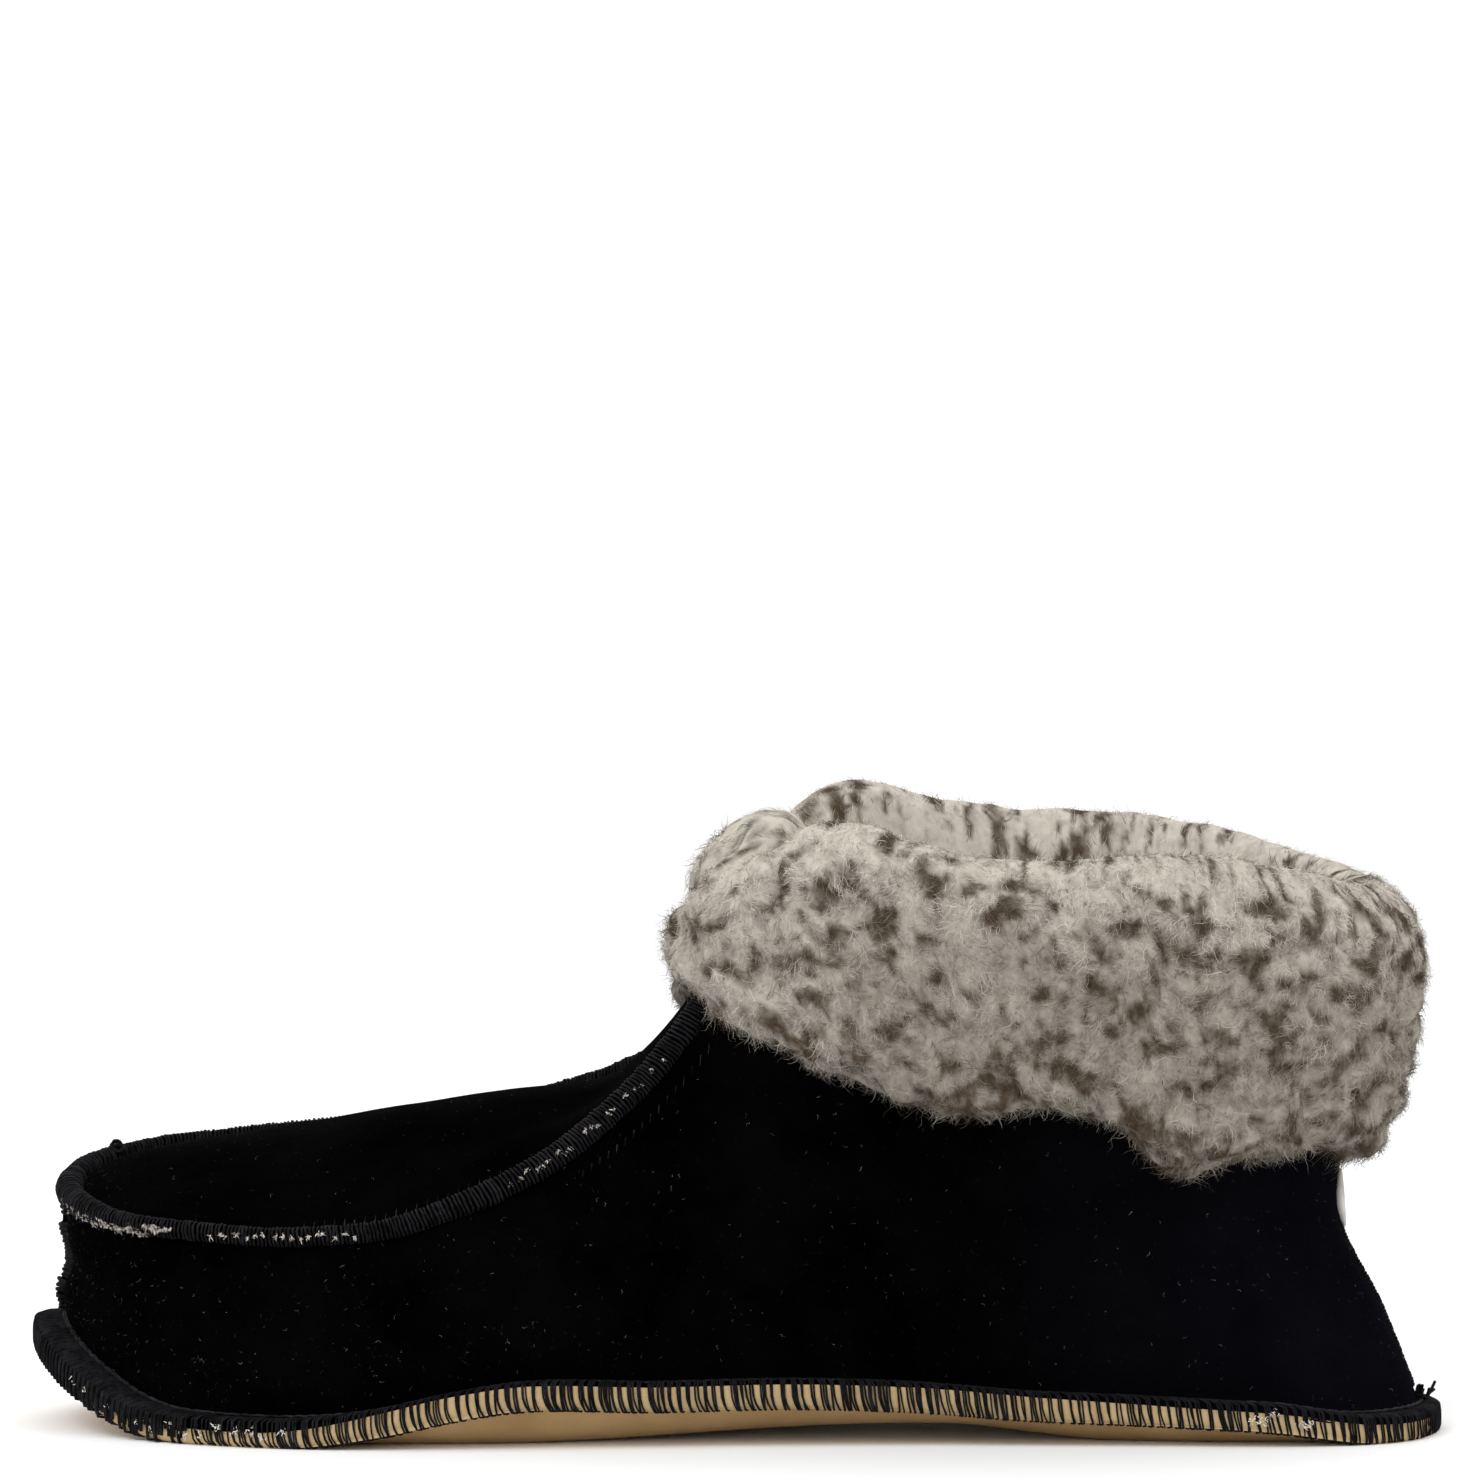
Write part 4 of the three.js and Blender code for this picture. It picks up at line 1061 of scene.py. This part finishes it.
def cuff_net(pile, lining, rise):
    """Closed net of the cuff: columns round the collar by points round its section."""
    columns = collar_columns()
    clear = GAP + 0.1
    inside = -(LEATHER + lining)
    net = []
    for place, (point_at, down, fuller) in enumerate(columns):
        high = rise + fuller
        section = (
            (down, clear), (down * 1.05 + 1, pile * 0.35), (down * 0.95 + 1, pile * 0.74),
            (down * 0.68, pile * 0.97), (down * 0.4, pile), (down * 0.1, pile * 0.97),
            (-high * 0.55, pile * 0.72), (-high, pile * 0.2), (-high * 0.9, inside * 0.5),
            (-high * 0.35, inside * 0.9), (CUFF_TUCK * 0.4, inside), (CUFF_TUCK, inside * 0.7),
            (CUFF_TUCK, -LEATHER - clear), (0, -LEATHER - clear), (-clear, -LEATHER / 2), (0, clear),
        )
        row = []
        for depth, out in section:
            beside = [columns[(place + step) % len(columns)][0](depth) for step in (-1, 1)]
            lower, higher = point_at(max(depth, 0) + 2), point_at(max(depth, 0))
            normal = unit(np.cross(beside[0] - beside[1], lower - higher))
            corner = 1.35 if out < 0 and place in (0, SIDE_COLUMNS - 1) else 1
            row.append(point_at(depth) + normal * out * corner)
        net.append(row)
    return np.array(net)


def refine(net, times):
    """Closed net with its first direction made finer by a smooth curve."""
    before, after, later = np.roll(net, 1, 0), np.roll(net, -1, 0), np.roll(net, -2, 0)
    parts = []
    for t in np.arange(times) / times:
        parts.append(
            net
            + 0.5 * t * (after - before)
            + t**2 * (before - 2.5 * net + 2 * after - 0.5 * later)
            + 0.5 * t**3 * (3 * net - before - 3 * after + later)
        )
    return np.stack(parts, 1).reshape(-1, *net.shape[1:])


def net_normals(net, sign):
    along_round = np.roll(net, -1, 0) - np.roll(net, 1, 0)
    along_section = np.roll(net, -1, 1) - np.roll(net, 1, 1)
    return unit(np.cross(along_section, along_round)) * sign


CUFF_ROUND, CUFF_SECTION = 9, 6
FOLD, INSIDE, WOOL_END = 5.4, 6.9, 12  # places on the section: the near rim, the flat wool, the wool's end
coarse = cuff_net(CUFF_PILE - BODY_UNDER, CUFF_LINING - 1.5, CUFF_RISE - BODY_UNDER)
wool_net = np.swapaxes(refine(np.swapaxes(refine(coarse, CUFF_ROUND), 0, 1), CUFF_SECTION), 0, 1)
around, section_points = wool_net.shape[:2]
middle = wool_net.mean((0, 1))
outer_row = 3 * CUFF_SECTION
plain = net_normals(wool_net, 1)
turned = np.sign(((wool_net[:, outer_row] - middle) * plain[:, outer_row]).sum(-1).mean())
wool_normals = plain * turned
# Place on the section, in its own points and in millimetres.
section_place = np.arange(section_points) / CUFF_SECTION
section_length = np.r_[0, np.linalg.norm(np.diff(wool_net, axis=1), axis=-1).mean(0).cumsum()]


def flat_share(place):
    """1 inside the opening, where the wool lies flat, and 0 on the turned-down side."""
    return ease(place, FOLD, INSIDE)


def brightness(turn, place):
    """Share of the full light tone, with painted light and shade in it: darkest low down at the lower edge, which is in
    shade, and lightest toward the fold at the top, where the light falls, and at the throat.
    """
    throat = np.maximum(1 - ease(turn, 0.01, 0.07), ease(turn, 0.9, 0.94))
    return np.minimum(0.385 + 0.08 * ease(place, 0.6, 2.6) + 0.4 * ease(place, 3.6, 6.8) + 0.18 * throat, 0.9)


def mottling(points, turn, place):
    """1 where the wool is light and 0 in its dark flecks."""
    flat = flat_share(place)
    pushed = points + 1.6 * np.stack([cloud(points, 4, seed) for seed in (16, 17, 18)], -1)
    spots = cloud(pushed, (3.6, 3.6, 2.8), 11) + 0.5 * cloud(points, (1.4, 1.4, 1.2), 12) + 0.4 * cloud(points, 15, 13)
    length = np.interp(place, section_place, section_length)
    angle = 2 * math.pi * turn
    ring = np.stack([COLLAR_RADIUS * np.cos(angle), COLLAR_RADIUS * np.sin(angle), length], -1)
    ring[:, :2] += (1.5 * cloud(points, 7, 19) + 0.6 * cloud(points, 2.5, 20))[:, None]
    lines = 0.9 * cloud(ring, (1.2, 1.2, 14), 14) + 0.8 * cloud(ring, (3.4, 3.4, 8), 15)
    lines = lines + 0.3 * cloud(points, 0.9, 21) - 0.1
    return 1 - ease(spots * (1 - flat) + lines * flat, -0.2, 0.64)


def net_sampler(net, normals, weights, count, rng):
    """Random places on the closed net, spread by area and weight."""
    a, b = np.roll(net, -1, 0) - net, np.roll(net, -1, 1) - net
    area = (np.linalg.norm(np.cross(a, b), axis=-1) * weights).ravel()
    pick = np.searchsorted(np.cumsum(area) / area.sum(), rng.random(count))
    i, j = np.divmod(pick, net.shape[1])
    s, t = rng.random(count), rng.random(count)
    i2, j2 = (i + 1) % net.shape[0], (j + 1) % net.shape[1]

    def blend(values):
        one = values[i, j] * (1 - s)[:, None] + values[i2, j] * s[:, None]
        two = values[i, j2] * (1 - s)[:, None] + values[i2, j2] * s[:, None]
        return one * (1 - t)[:, None] + two * t[:, None]

    return blend(net), unit(blend(normals)), (i + s) / net.shape[0], (j + t) / CUFF_SECTION


def nearest(centres, places):
    """The nearest centre to each place, and how far away it is."""
    tree = kdtree.KDTree(len(centres))
    for index, centre in enumerate(centres):
        tree.insert(Vector(centre), index)
    tree.balance()
    found = np.array([tree.find(Vector(place))[1:] for place in places])
    return found[:, 0].astype(int), found[:, 1]


TUFTS, TUFT, TUFT_HEIGHT = 900, 4.4, 1.7
tuft_rng = np.random.default_rng(5)
tufts = net_sampler(wool_net, wool_normals, np.ones(wool_net.shape[:2]), TUFTS, tuft_rng)[0]
flat_net = wool_net.reshape(-1, 3)
turn_grid = np.repeat(np.arange(around) / around, section_points)
place_grid = np.tile(section_place, around)
away = nearest(tufts, flat_net)[1]
swell = TUFT_HEIGHT * (0.5 - np.minimum(away / TUFT, 1.25) ** 2) + 0.6 * cloud(flat_net, 2.6, 4)
swell *= (1 - 0.75 * flat_share(place_grid)) * ease(place_grid, 0, 1) * (1 - ease(place_grid, 11, WOOL_END))
lumped = flat_net + wool_normals.reshape(-1, 3) * swell[:, None]
body_net = lumped.reshape(wool_net.shape)
body_normals = net_normals(body_net, turned)
body_faces = closed_faces(around, section_points)
if turned < 0:
    body_faces = [face[::-1] for face in body_faces]
wool = make_wool("grey_wool", (0.69, 0.638, 0.56), (0.066, 0.046, 0.029))
wool_body = lay_mesh("cuff_wool", lumped, body_faces, wool)
# Painted shade: the body under the fibres gets only three quarters of their tone, as it lies deep in the pile; it also
# carries the painted light and shade of brightness.
shade(wool_body, 0.02 + 0.75 * brightness(turn_grid, place_grid) * mottling(lumped, turn_grid, place_grid))
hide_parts("cuff")
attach(wool_body, "root")

down_lay = np.roll(wool_net, 1, 1) - np.roll(wool_net, -1, 1)
tuft_lean = tuft_rng.normal(0, 0.8, (TUFTS, 3))
tuft_tone = tuft_rng.normal(0, 0.1, TUFTS)
turn_index, place_index = np.meshgrid(np.arange(around) / around, section_place, indexing="ij")
outside, outer_side = place_index < FOLD, turn_index < 0.5
# name, where, fibres, length, lift, curl, how much it hangs down
regions = (
    ("cuff_wool_outer_side", outside & outer_side, 27000, 4.6, 0.2, 0.8, 0.5),
    ("cuff_wool_outer_frizz", (place_index < 7.4) & outer_side, 13000, 3.4, 0.24, 1.2, 0.3),
    ("cuff_wool_inner_side", outside & ~outer_side, 21000, 4.8, 0.22, 0.8, 0.5),
    ("cuff_wool_fold", ~outside & (place_index < WOOL_END), 21000, 4.2, 0.1, 0.5, 1.2),
)
thicker = 1 + 0.8 * (place_index > 5)  # more fibres over the fold and inside
for seed, (name, where, count, length, lift, curl, droop) in enumerate(regions):
    rng = np.random.default_rng(seed + 21)
    roots, out, turn, place = net_sampler(body_net, body_normals, where * thicker, count, rng)
    home, away = nearest(tufts, roots)
    edge = 1 - ease(place, 0.6, 1.8)
    i = (turn * around).astype(int) % around
    j = (place * CUFF_SECTION).astype(int) % section_points
    lay = unit(down_lay[i, j]) * (droop + 0.6 * edge)[:, None]
    lay += tuft_lean[home] * (0.8 - 0.6 * flat_share(place))[:, None] + (roots - tufts[home]) * 0.08
    lay += rng.normal(0, min(0.8, curl), (count, 3))
    own_length = length * rng.uniform(0.5, 1.2, count) * (1 + 0.35 * edge)
    own_lift = lift * rng.uniform(0.3, 1.4, count)
    paths = scatter(roots - out * 0.3, out, lay, own_length, own_lift, curl, rng)
    repeat = np.repeat(np.arange(count), FIBRE_POINTS)
    tone = mottling(paths.reshape(-1, 3), turn[repeat], place[repeat]).reshape(count, FIBRE_POINTS)
    pale = 0.03 + tone + tuft_tone[home][:, None] + rng.normal(0, 0.22, (count, 1))
    # Painted shade: fibres far from their tuft's centre are darker, in the valleys between tufts, and each fibre is
    # darker at its root deep in the pile and lighter at its tip.
    pale -= 0.2 * ease(away, 2.5, 5)[:, None] * (1 - flat_share(place))[:, None]
    pale *= np.linspace(0.7, 1.12, FIBRE_POINTS) * brightness(turn, place)[:, None]
    widths = rng.uniform(0.5, 1.3, count) * 0.15 * (1 - 0.3 * edge)
    strands = comb(name, paths, unit(out + rng.normal(0, 0.4, (count, 3))), np.clip(pale, 0, 1), out, widths, wool)
    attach(strands, "root")


# Floor and light
# A pale, smooth floor and soft light from above on both sides.
bpy.ops.mesh.primitive_circle_add(vertices=96, radius=12, fill_type="NGON", location=(0, 0, 0))
floor = bpy.context.object
floor.name = "floor"
paper = finish_material(new_material("white_paper"), (0.97, 0.97, 0.97, 1), {"Roughness": 0.9})
floor.data.materials.append(paper)
world = bpy.data.worlds.new("studio")
bpy.context.scene.world = world
world.use_nodes = True
world.node_tree.nodes["Background"].inputs["Color"].default_value = (1, 1, 1, 1)
world.node_tree.nodes["Background"].inputs["Strength"].default_value = 1.05
for name, place, size, power in (
    ("key", (-0.9, -1.3, 1.5), 1.0, 14),
    ("fill", (1.4, -0.6, 1.1), 1.2, 4),
    ("back", (-0.2, 1.4, 1.4), 1.2, 5),
):
    spot_light = bpy.data.lights.new(name, "AREA")
    spot_light.size = size
    spot_light.energy = power
    lamp = bpy.data.objects.new(name, spot_light)
    lamp.location = place
    lamp.rotation_euler = (Vector((-0.1, 0, 0.05)) - Vector(place)).to_track_quat("-Z", "Y").to_euler()
    bpy.context.scene.collection.objects.link(lamp)
